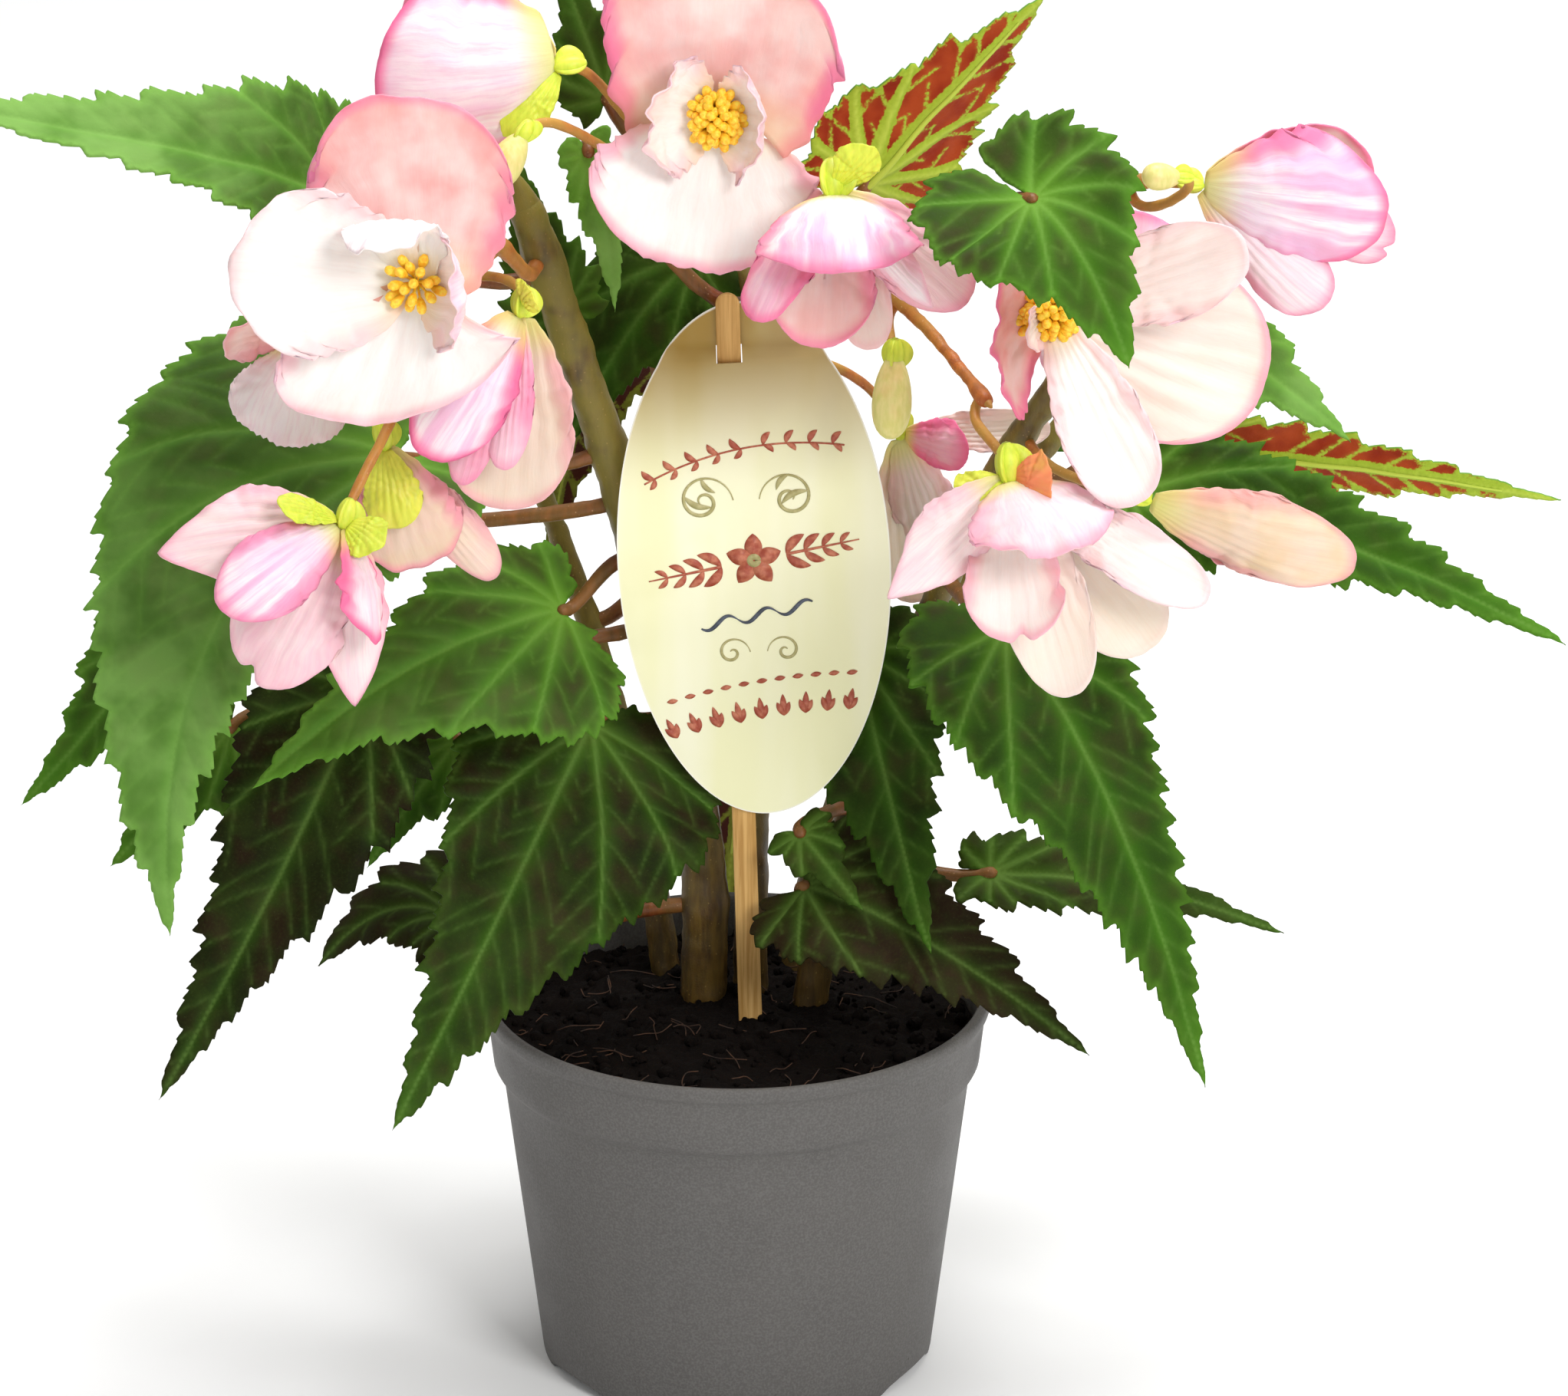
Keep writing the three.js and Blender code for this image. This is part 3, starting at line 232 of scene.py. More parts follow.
# Flowers: where the pedicel grows; the heart; the way the flower faces; the ovary's radius; the
# number of stamens; and the petals.
FLOWERS = {
    "flower_01": (("stalk_top", 0.7), (-38, -35, 329), (-0.97, -0.2, -0.1), 3, 0, [
        petal((-41, -12, -1), (0.1, 0.95, 0), 43, 6, 0.5, blush=0.3, hot=1.2, lilac=0.4, root=0.55),
        petal((-37, 15, 6), (0, -1, 0), 34, 6, 0.5, blush=0.5, hot=1),
        petal((-13, -7, -14), (0.3, 0.9, 0), 11, 2, 0.3, skin="lime", point=0.6)]),
    "flower_02": (("stalk_top", 0.9), (-4, -40, 319), (0.05, -0.95, 0.05), 3, 60, [
        petal((3, -5, 41), (-0.1, -0.95, 0.25), 54, 3, 0.12, blush=0.85, hot=1, skew=0.22, belly=0.5,
              root=0.6, shoulder=0.7, ears=9),
        petal((-5, -13, -31), (0.05, -0.93, 0.35), 51, 2, 0.14, blush=0.08, hot=0.7, belly=0.42,
              shoulder=0.45, teeth=0.6, ruffle=1.6),
        petal((-14, -14, 4), (0.7, -0.7, 0), 27, 5, 0.25, blush=0.15, hot=0.35, belly=0.3, root=0.6,
              ruffle=1.2),
        petal((10, -15, 1), (-0.85, -0.5, 0), 26, 5, 0.3, blush=0.12, hot=0.35, belly=0.3, root=0.6)]),
    "flower_03": (("stalk_left", 0.45), (-69, -74, 292), (-0.15, -0.95, 0.15), 3, 18, [
        petal((-2, 5, 41), (0.05, -0.97, 0.15), 44, 3, 0.06, blush=0.95, hot=0.7, skew=0.12, belly=0.5,
              root=0.4, shoulder=0.6, ears=6),
        petal((-40, -9, 6), (0.1, -0.95, 0.3), 36, 1.5, 0.2, blush=0.1, hot=0.3, belly=0.55,
              shoulder=0.6, ruffle=2),
        petal((-8, -11, -29), (0, -0.9, 0.45), 50, 3, 0.2, blush=0.04, hot=0.5, skew=-0.42, belly=0.5,
              root=0.1, shoulder=0.6),
        petal((-10, -20, 12), (0.1, -0.1, -0.95), 24, 11, 0.2, blush=0.03, hot=0.1, belly=0.35,
              root=0.35, ruffle=1.3),
        petal((8, -18, 1), (-0.78, -0.62, 0), 28, 6, 0.25, blush=0.3, hot=0.3, belly=0.3, root=0.6)]),
    "flower_04": (("stalk_left", 0.35), (-96, -40, 267), (-0.4, -0.35, -0.8), 3, 0, [
        petal((-6, -10, -21), (0, 1, -0.2), 27, 3, 0.2, blush=0.08, hot=0.15, teeth=0.7, warm=0.15),
        petal((-17, -12, 4), (0.1, -0.9, -0.4), 15, 2, 0.2, blush=0.8, hot=0.3),
        petal((4, 6, -20), (0, -0.9, 0.2), 22, 3, 0.2, blush=0.5, warm=0.2)]),
    "flower_05": (("stalk_left", 0.6), (-47, -58, 280), (-0.24, -0.27, -0.93), 3, 0, [
        petal((-21, -16, -29), (-0.1, 0.9, -0.35), 21, 5, 0.45, blush=0.1, hot=1.2, lilac=0.6),
        petal((-5, 0, -47), (0, -0.95, 0.1), 29, 3, 0.2, blush=0.25, hot=0.5, warm=0.55),
        petal((-14, -9, -38), (0.3, 0.9, 0), 11, 2, 0.3, blush=1, hot=0.4),
        petal((-4, -10, -34), (0.1, 0.9, 0), 10, 2, 0.3, blush=0.9, hot=0.4),
        petal((2, -4, 6), (0.3, 0.7, -0.5), 9, 1, 0.2, skin="lime", warm=0.1)]),
    "flower_06": (("stalk_left", 0.98), (-86, -80, 238), (-0.3, -0.3, -0.9), 3, 0, [
        petal((-41, -4, -6), (0, 0.85, -0.5), 23, 4, 0.25, blush=0.55, hot=0.4, point=0.8, belly=0.45,
              warm=0.2),
        petal((-26, -20, -13), (0.1, 0.9, -0.3), 19, 6, 0.55, blush=0.15, hot=0.8, lilac=0.9),
        petal((7, -13, -24), (-0.75, 0.5, 0), 15, 3, 0.4, blush=0.3, hot=1.3, point=0.5),
        petal((-20, -7, -35), (0.2, 0.95, 0), 25, 4, 0.3, blush=0.6, hot=0.25, notch=3, warm=0.15),
        petal((2, -3, -43), (-0.2, 0.9, 0.1), 18, 3, 0.3, blush=0.4, hot=0.5, point=0.9, belly=0.5,
              warm=0.15),
        petal((-14, -7, 7), (0, 0.5, -0.85), 8, 1, 0.2, skin="lime"),
        petal((9, -8, -3), (-0.3, 0.8, -0.3), 11, 1, 0.2, skin="lime", point=0.6)]),
    "flower_07": (("stalk_left", 0.85), (-78, -56, 248), (0.15, -0.15, -0.97), 3, 0, [
        petal((3, -7, -18), (0, 0.95, 0), 13, 2, 0.3, skin="lime", warm=0.15),
        petal((8, 2, -31), (0, 0.95, 0), 24, 4, 0.3, blush=0.4, hot=0.7, warm=0.9),
        petal((24, 8, -35), (0, 0.95, 0.2), 12, 2, 0.3, blush=0.3, hot=0.5, warm=0.7)]),
    "flower_08": (("stalk_middle", 0.4), (22, -56, 307), (0.05, -0.5, -0.86), 4, 0, [
        petal((2, -25, -11), (0, 0.35, -0.93), 36, 5, 0.35, blush=0.1, hot=0.9, lilac=0.8, belly=0.5),
        petal((-18, -12, -26), (0.6, 0.75, -0.1), 15, 3, 0.3, blush=0.9, hot=1),
        petal((-4, -4, -35), (0, -0.95, 0.2), 23, 4, 0.3, blush=0.75, hot=0.8, shoulder=0.6),
        petal((9, 0, -37), (-0.2, -0.95, 0.2), 14, 2, 0.2, blush=0.4, hot=0.3, warm=0.2),
        petal((22, -15, -22), (0.3, 0.85, 0.2), 9, 2, 0.4, blush=0.1, hot=0.5, point=0.5),
        petal((30, 0, -26), (-0.2, 0.9, -0.2), 18, 3, 0.3, blush=0.5, hot=0.5, warm=0.2),
        petal((9, -3, 11), (-0.3, 0.9, 0), 11, 1, 0.2, skin="lime", point=0.4)]),
    "flower_09": (("stalk_right", 0.5), (70, -55, 279), (-0.1, -0.95, -0.2), 3, 50, [
        petal((43, -11, 17), (0, -0.9, 0.4), 21, 3, 0.2, blush=0.35, hot=0.25),
        petal((48, -4, -16), (0.05, -0.92, 0.4), 43, 3, 0.16, blush=0.12, hot=0.7, warm=0.3, belly=0.55,
              root=0.12, shoulder=0.8, pleats=0.5),
        petal((19, -25, -37), (0, -0.9, 0.3), 20, -2, 0.25, blush=0.1, hot=0.35, belly=0.72),
        petal((-13, -15, -4), (0.85, -0.3, 0.1), 37, 3, 0.2, blush=1, hot=1, point=0.5, skew=0.3),
        petal((-5, -15, -2), (0.3, -0.9, 0), 10, 1, 0.2, blush=0.2, hot=0.3, warm=0.2)]),
    "flower_10": (("stalk_right", 0.95), (103, -40, 303), (0.97, -0.2, -0.1), 2.5, 0, [
        petal((42, -8, -5), (-0.1, 0.95, 0), 31, 5, 0.45, blush=0.02, hot=1.1, lilac=0.9, belly=0.45),
        petal((40, 8, -1), (0, -0.95, 0), 28, 5, 0.45, blush=0.4, hot=1),
        petal((44, 0, -14), (0, 0.95, 0.3), 16, 3, 0.3, blush=0.5, hot=0.7, belly=0.8, notch=2),
        petal((29, -2, -28), (0.1, 0.95, 0.1), 17, 3, 0.3, blush=0.25, hot=0.7, belly=0.75)]),
    "flower_11": (("stalk_middle", 0.98), (61, -75, 247), (0.1, -0.3, -0.94), 4, 0, [
        petal((-27, -13, -24), (0.2, 0.85, 0.3), 19, 3, 0.25, blush=0.35, hot=0.35, point=0.8, belly=0.5,
              warm=0.15),
        petal((13, -19, -11), (-0.22, 0.35, -0.9), 36, 3, 0.2, blush=0.35, hot=0.5, ruffle=1.8,
              belly=0.45),
        petal((1, -18, -33), (0, -0.95, 0.2), 22, 4, 0.3, blush=0.15, hot=0.6, belly=0.72, notch=3),
        petal((14, -6, -50), (-0.1, -0.95, 0.1), 19, 3, 0.25, blush=0.15, warm=0.4, hot=0.1),
        petal((32, 5, -43), (0, -0.95, 0.2), 25, 3, 0.2, blush=0.05, warm=0.5, hot=0.1, belly=0.6),
        petal((44, -4, -28), (0.1, -0.85, 0.5), 15, 2, 0.2, blush=0.2, hot=0.3, ruffle=1.6),
        petal((-10, -5, -6), (0.3, 0.9, -0.3), 14, 1, 0.3, skin="lime", warm=0.1),
        petal((9, -8, 0), (-0.4, 0.9, 0), 14, 1, 0.3, skin="lime", warm=1)]),
    "flower_12": (("stem_right", 0.72), (93, -30, 225), (0.93, -0.1, -0.35), 2.5, 0, [
        petal((48, -4, -15), (0.1, 0.95, 0.1), 21, 4, 0.4, blush=0.1, warm=1, hot=0.5, belly=0.55),
        petal((47, 7, -18), (0, -0.95, 0), 19, 4, 0.4, blush=0.2, warm=0.9, hot=0.7, belly=0.55)]),
    "flower_13": (("stem_middle", 0.75), (38, 27, 221), (0.3, 0.05, -0.95), 3, 0, [
        petal((16, -9, -2), (0, 0.95, 0.1), 13, 2, 0.3, blush=1, hot=1.2),
        petal((35, -3, 2), (0, -0.9, 0.4), 10, 2, 0.2, blush=0.1, warm=0.3, hot=0.2),
        petal((4, -1, -42), (0, -0.95, 0.1), 18, 3, 0.25, blush=0.1, warm=0.35, hot=0.2),
        petal((12, 5, -36), (0, 0.95, 0.1), 17, 3, 0.25, blush=0.2, warm=0.3, hot=0.3)]),
    "flower_14": (("stem_back_left", 0.97), (-84, 84, 242), (-0.3, 0.8, 0.4), 3, 40, [
        petal((-2, 2, 29), (-0.2, 0.95, 0), 37, 2, 0.15, blush=0.7, hot=0.9, shoulder=0.6),
        petal((0, 18, -26), (-0.2, 0.85, 0.5), 38, 2, 0.15, blush=0.15, hot=0.7, teeth=0.5, shoulder=0.5),
        petal((14, 14, 2), (-0.7, 0.7, 0.2), 16, 2, 0.25, blush=0.4, ruffle=1.5),
        petal((-16, 8, 2), (0.7, 0.7, 0.2), 16, 2, 0.25, blush=0.4, ruffle=1.5)]),
    "flower_15": (("stem_back_right", 0.97), (92, 84, 226), (0.3, 0.85, 0.1), 3, 30, [
        petal((-2, 8, 28), (0.2, 0.9, -0.3), 32, 2, 0.15, blush=0.6, hot=0.9),
        petal((20, 14, -15), (-0.1, 0.9, 0.3), 28, 2, 0.2, blush=0.2, hot=0.7),
        petal((-20, 20, -12), (0.4, 0.85, 0.2), 28, 2, 0.2, blush=0.25, hot=0.7)]),
    "flower_16": (("stem_middle", 0.9), (-8, 56, 284), (-0.1, 0.9, 0.2), 3, 40, [
        petal((0, 4, 28), (0, 0.95, -0.2), 35, 2, 0.15, blush=0.7, hot=0.9, shoulder=0.6),
        petal((0, 15, -26), (0, 0.9, 0.4), 37, 2, 0.15, blush=0.1, hot=0.7, teeth=0.5, shoulder=0.5),
        petal((14, 13, 2), (-0.7, 0.7, 0), 15, 2, 0.25, blush=0.3, ruffle=1.5),
        petal((-14, 11, 2), (0.7, 0.7, 0), 15, 2, 0.25, blush=0.3, ruffle=1.5)]),
}


# Closed buds: where the pedicel grows, the heart, the way the bud points, its radius and length.
BUDS = {
    "bud_1": (("stalk_middle", 0.5), (36, -30, 258), (-0.05, -0.1, -0.99), 5, 20),
    "bud_2": (("stalk_right", 0.7), (98, -53, 309), (-0.9, -0.2, 0.1), 3.4, 9),
    "bud_3": (("stalk_top", 0.5), (-47, -50, 317), (-0.5, -0.3, -0.8), 4.4, 14),
}


# ---------- vectors and curves ----------
def unit(vectors):
    """The vectors at unit length."""
    vectors = np.asarray(vectors, float)
    return vectors / np.linalg.norm(vectors, axis=-1, keepdims=True)


def dot(a, b):
    """The scalar product of each pair of vectors."""
    return np.sum(np.asarray(a) * b, axis=-1, keepdims=True)


def square_to(direction, axis):
    """The part of a direction that is square to another one, at unit length."""
    return unit(direction - axis * dot(direction, axis))


def cross_axes(axis, hint=(0.31, 0.59, 0.74)):
    """Two directions square to an axis and to each other. The first leans to the hint's side."""
    side = square_to(np.array(hint), axis)
    return side, np.cross(axis, side)


def spokes(side, other, sides):
    """Unit vectors evenly all the way round, from one side towards the other."""
    angles = np.linspace(0, 2 * np.pi, sides, endpoint=False)[:, None]
    return side[..., None, :] * np.cos(angles) + other[..., None, :] * np.sin(angles)


def noise_at(points, shift=(0, 0, 0)):
    """Smooth noise at each point."""
    return np.array([noise.noise(Vector(point) + Vector(shift)) for point in points])


def smoothstep(low, high, value):
    """0 below low, 1 above high, and eased between them."""
    share = np.clip((value - low) / (high - low), 0, 1)
    return share * share * (3 - 2 * share)


class Path:
    """A curve through sampled points, read by the share of its length."""

    def __init__(self, samples):
        self.samples = np.asarray(samples, float)
        steps = np.linalg.norm(np.diff(self.samples, axis=0), axis=1)
        self.places = np.concatenate([[0], np.cumsum(steps)])
        self.length = self.places[-1]

    def at(self, share):
        """The point at a share of the length."""
        place = np.clip(share, 0, 1) * self.length
        return np.stack([np.interp(place, self.places, column) for column in self.samples.T], axis=-1)

    def tangent(self, share):
        """The way ahead at a share of the length."""
        reach = 0.01
        return unit(self.at(np.minimum(share + reach, 1)) - self.at(np.maximum(share - reach, 0)))


def smooth_path(points, steps=24):
    """A centripetal Catmull-Rom curve through the points."""
    points = np.array(points, float)
    ends = np.vstack([2 * points[0] - points[1], points, 2 * points[-1] - points[-2]])
    samples = []
    for p0, p1, p2, p3 in zip(ends, ends[1:], ends[2:], ends[3:]):
        spans = (p1 - p0, p2 - p1, p3 - p2)
        d0, d1, d2 = (max(np.linalg.norm(span), 1e-6) ** 0.5 for span in spans)
        leave = ((p1 - p0) / d0 - (p2 - p0) / (d0 + d1) + (p2 - p1) / d1) * d1
        arrive = ((p2 - p1) / d1 - (p3 - p1) / (d1 + d2) + (p3 - p2) / d2) * d1
        t = np.linspace(0, 1, steps, endpoint=False)[:, None]
        samples.append(p1 + leave * t + (3 * (p2 - p1) - 2 * leave - arrive) * t**2
                       + (2 * (p1 - p2) + leave + arrive) * t**3)
    samples.append(points[-1:])
    return Path(np.vstack(samples))


def bezier_path(p0, p1, p2, p3, steps=40):
    """A cubic curve from its four control points."""
    t = np.linspace(0, 1, steps + 1)[:, None]
    return Path(p0 * (1 - t)**3 + 3 * p1 * t * (1 - t)**2 + 3 * p2 * t**2 * (1 - t) + p3 * t**3)


# ---------- branching ----------
branches = {}


def bud_point(source, target):
    """The middle of a branch at a place along it, and the way out of it towards a target."""
    name, along = source
    path, radii = branches[name]
    middle = path.at(along)
    outward = square_to(target - middle, path.tangent(along))
    return middle, outward, np.interp(along, (0, 1), radii)


def shoot_path(source, target, arrival):
    """A curve that leaves a branch square to it and arrives at a target along a direction."""
    middle, outward, radius = bud_point(source, target)
    start = middle + outward * radius
    reach = np.linalg.norm(target - start)
    bent = bezier_path(start, start + outward * 0.3 * reach, target - arrival * 0.3 * reach, target)
    return Path(np.vstack([middle, bent.samples]))


# ---------- making meshes ----------
def as_columns(value):
    """A painted value as an array with a column for each of its numbers."""
    value = np.asarray(value, float)
    return value[:, None] if value.ndim == 1 else value


class Shape:
    """Points, faces and painted values of a piece while it is being made."""

    def __init__(self):
        self.points = []
        self.faces = []
        self.paint = []
        self.count = 0

    def add(self, points, faces, material, **paint):
        """Adds a body. Each painted value is a number, or one number or vector for each point."""
        self.points.append(np.asarray(points, float))
        self.faces.append((np.asarray(faces, int) + self.count, material))
        self.paint.append(paint)
        self.count += len(points)

    def add_sheet(self, points, faces, thickness, upper, under, **paint):
        """Adds a thin closed sheet around a surface, with a material on each side of it."""
        count = len(points)
        normals = point_normals(points, faces)
        both = np.vstack([points + normals * thickness / 2, points - normals * thickness / 2])
        start = faces.ravel()
        end = np.roll(faces, -1, axis=1).ravel()
        key = np.minimum(start, end) * count + np.maximum(start, end)
        _, index, times = np.unique(key, return_inverse=True, return_counts=True)
        rim = times[index] == 1
        walls = np.stack([end[rim], start[rim], start[rim] + count, end[rim] + count], axis=1)
        doubled = {name: np.concatenate([value, value]) if np.ndim(value) else value
                   for name, value in paint.items()}
        self.add(both, faces, upper, **doubled)
        first = self.count - 2 * count
        self.faces.append((faces[:, ::-1] + count + first, under))
        self.faces.append((walls + first, upper))

    def add_turned(self, points, sides, poles, material, **paint):
        """Adds a closed body: rings of points round an axis, and a pole beyond each of its ends."""
        count = len(points)
        rings = grid_faces(count // sides, sides, closed=True)[:, ::-1]
        self.add(np.vstack([points, poles]), rings, material, **paint)
        low_pole, high_pole = self.count - 2, self.count - 1
        low = low_pole - count + np.arange(sides)
        high = low_pole - sides + np.arange(sides)
        start = np.stack([np.roll(low, -1), np.full(sides, low_pole), low], axis=1)
        end = np.stack([high, np.roll(high, -1), np.full(sides, high_pole)], axis=1)
        self.faces += [(start, material), (end, material)]

    def make(self, name, slot, *nodes):
        """The finished piece, which rides on the one body and stands for its CAD nodes."""
        mesh = bpy.data.meshes.new(name)
        faces = [face for block, _ in self.faces for face in block.tolist()]
        mesh.from_pydata((np.vstack(self.points) * MM).tolist(), [], faces)
        materials = list(dict.fromkeys(material for _, material in self.faces))
        for material in materials:
            mesh.materials.append(material)
        indices = [np.full(len(block), materials.index(material)) for block, material in self.faces]
        mesh.polygons.foreach_set("material_index", np.concatenate(indices).astype(np.int32))
        mesh.shade_smooth()
        for key in sorted({key for values in self.paint for key in values}):
            self.paint_mesh(mesh, key)
        mesh.validate()
        piece = bpy.data.objects.new(name, mesh)
        bpy.context.scene.collection.objects.link(piece)
        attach(piece, "root")
        if nodes:
            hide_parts(*nodes)
        return piece

    def paint_mesh(self, mesh, key):
        """Gives the mesh one of the painted values, which is 0 where a body doesn't have it."""
        blocks = [as_columns(values.get(key, 0)) for values in self.paint]
        width = max(block.shape[-1] if block.ndim else 1 for block in blocks)
        rows = [np.broadcast_to(block, (len(points), width)) for block, points in zip(blocks, self.points)]
        kind, field = ("FLOAT_VECTOR", "vector") if width == 3 else ("FLOAT", "value")
        layer = mesh.attributes.new(key, kind, "POINT")
        layer.data.foreach_set(field, np.vstack(rows).astype(np.float32).ravel())


def point_normals(points, faces):
    """The mean way that the faces round each point look."""
    normals = np.zeros_like(points)
    for k in range(1, faces.shape[1] - 1):
        a, b, c = (points[faces[:, i]] for i in (0, k, k + 1))
        face_normals = np.cross(b - a, c - a)
        for column in (faces[:, 0], faces[:, k], faces[:, k + 1]):
            np.add.at(normals, column, face_normals)
    return normals / np.maximum(np.linalg.norm(normals, axis=1, keepdims=True), 1e-12)


def grid_faces(rows, columns, closed=False):
    """Quads over a grid of points, the last column joined to the first if it is closed."""
    row = np.arange(rows - 1)[:, None] * columns
    column = np.arange(columns if closed else columns - 1)[None, :]
    following = (column + 1) % columns
    corners = np.broadcast_arrays(row + column, row + columns + column, row + columns + following,
                                  row + following)
    return np.stack([corner.ravel() for corner in corners], axis=1)


def triangulate(loops, loose=(), tolerance=1e-5):
    """Flat points and triangles that fill the closed loops, with loose points among the corners."""
    points, edges = [], []
    for loop in loops:
        first = len(points)
        points += [Vector(point) for point in loop]
        edges += [(first + k, first + (k + 1) % len(loop)) for k in range(len(loop))]
    points += [Vector(point) for point in loose]
    flat, _, faces, *_ = delaunay_2d_cdt(points, edges, [], 1, tolerance)
    return np.array([tuple(point) for point in flat]), np.array(faces)


def wound(flat, faces, upwards=True):
    """Flat triangles, each wound so that it looks up, or down."""
    a, b, c = (flat[faces[:, k]] for k in range(3))
    area = (b[:, 0] - a[:, 0]) * (c[:, 1] - a[:, 1]) - (b[:, 1] - a[:, 1]) * (c[:, 0] - a[:, 0])
    wrong = (area > 0) != upwards
    faces[wrong] = faces[wrong][:, ::-1]
    return faces


def weld(piece, distance=1e-6):
    """Joins points of a piece that lie in the same place."""
    mesh = bmesh.new()
    mesh.from_mesh(piece.data)
    bmesh.ops.remove_doubles(mesh, verts=mesh.verts, dist=distance)
    bmesh.ops.recalc_face_normals(mesh, faces=mesh.faces)
    mesh.to_mesh(piece.data)
    mesh.free()


def sharpen(piece, angle_deg):
    """Keeps the piece's edges crisp where its faces meet at more than an angle."""
    piece.data.set_sharp_from_angle(angle=math.radians(angle_deg))


def even(radius):
    """The same radius all along."""
    return lambda share: np.full_like(share, radius)


def tapered(radius, start, end):
    """A radius that goes from a share of itself to another one."""
    return lambda share: radius * (start + (end - start) * share)


def add_tube(shape, path, radius, material, sides=12, spacing=2.0, rough=0.0, seed=0, **paint):
    """A round bar with rounded ends along a path. radius is a function of the share of its length."""
    steps = max(6, int(path.length / spacing))
    shares = np.linspace(0, 1, steps + 1)
    centres, tangents, radii = path.at(shares), path.tangent(shares), radius(shares)
    side, _ = cross_axes(tangents[0])
    sides_along = []
    for tangent in tangents:
        side = square_to(side, tangent)
        sides_along.append(side)
    rounding = np.radians([60, 30])
    centres = np.vstack([centres[0] - tangents[0] * radii[0] * np.sin(rounding)[:, None], centres,
                         centres[-1] + tangents[-1] * radii[-1] * np.sin(rounding[::-1])[:, None]])
    radii = np.concatenate([radii[0] * np.cos(rounding), radii, radii[-1] * np.cos(rounding[::-1])])
    sides_along = np.array([sides_along[0]] * 2 + sides_along + [sides_along[-1]] * 2)
    tangents = np.vstack([tangents[:1]] * 2 + [tangents] + [tangents[-1:]] * 2)
    ring = spokes(sides_along, np.cross(tangents, sides_along), sides)
    points = (centres[:, None] + ring * radii[:, None, None]).reshape(-1, 3)
    if rough:
        lumps = noise_at(points * 0.35, (seed, 0, 0)) * rough
        points = points + ring.reshape(-1, 3) * lumps[:, None]
    poles = [centres[0] - tangents[0] * radii[0] * 0.6, centres[-1] + tangents[-1] * radii[-1] * 0.6]
    shape.add_turned(points, sides, poles, material, **paint)


def add_egg(shape, centre, axis, radius, length, material, rings=10, sides=16, taper=0.0, **paint):
    """An egg shape about a centre. taper makes its front narrower than its back."""
    turn = np.linspace(0, np.pi, rings + 1)[1:-1]
    ahead = -np.cos(turn)
    wide = np.sin(turn) * (1 - taper * ahead)
    ring = spokes(*cross_axes(axis), sides)
    points = centre + axis * (ahead * length / 2)[:, None, None] + ring * (wide * radius)[:, None, None]
    poles = [centre - axis * length / 2, centre + axis * length / 2]
    shape.add_turned(points.reshape(-1, 3), sides, poles, material, **paint)


# ---------- materials ----------
def srgb(code):
    """A linear colour from its screen code."""
    channels = [(code >> shift & 255) / 255 for shift in (16, 8, 0)]
    return tuple(c / 12.92 if c <= 0.04045 else ((c + 0.055) / 1.055)**2.4 for c in channels) + (1,)


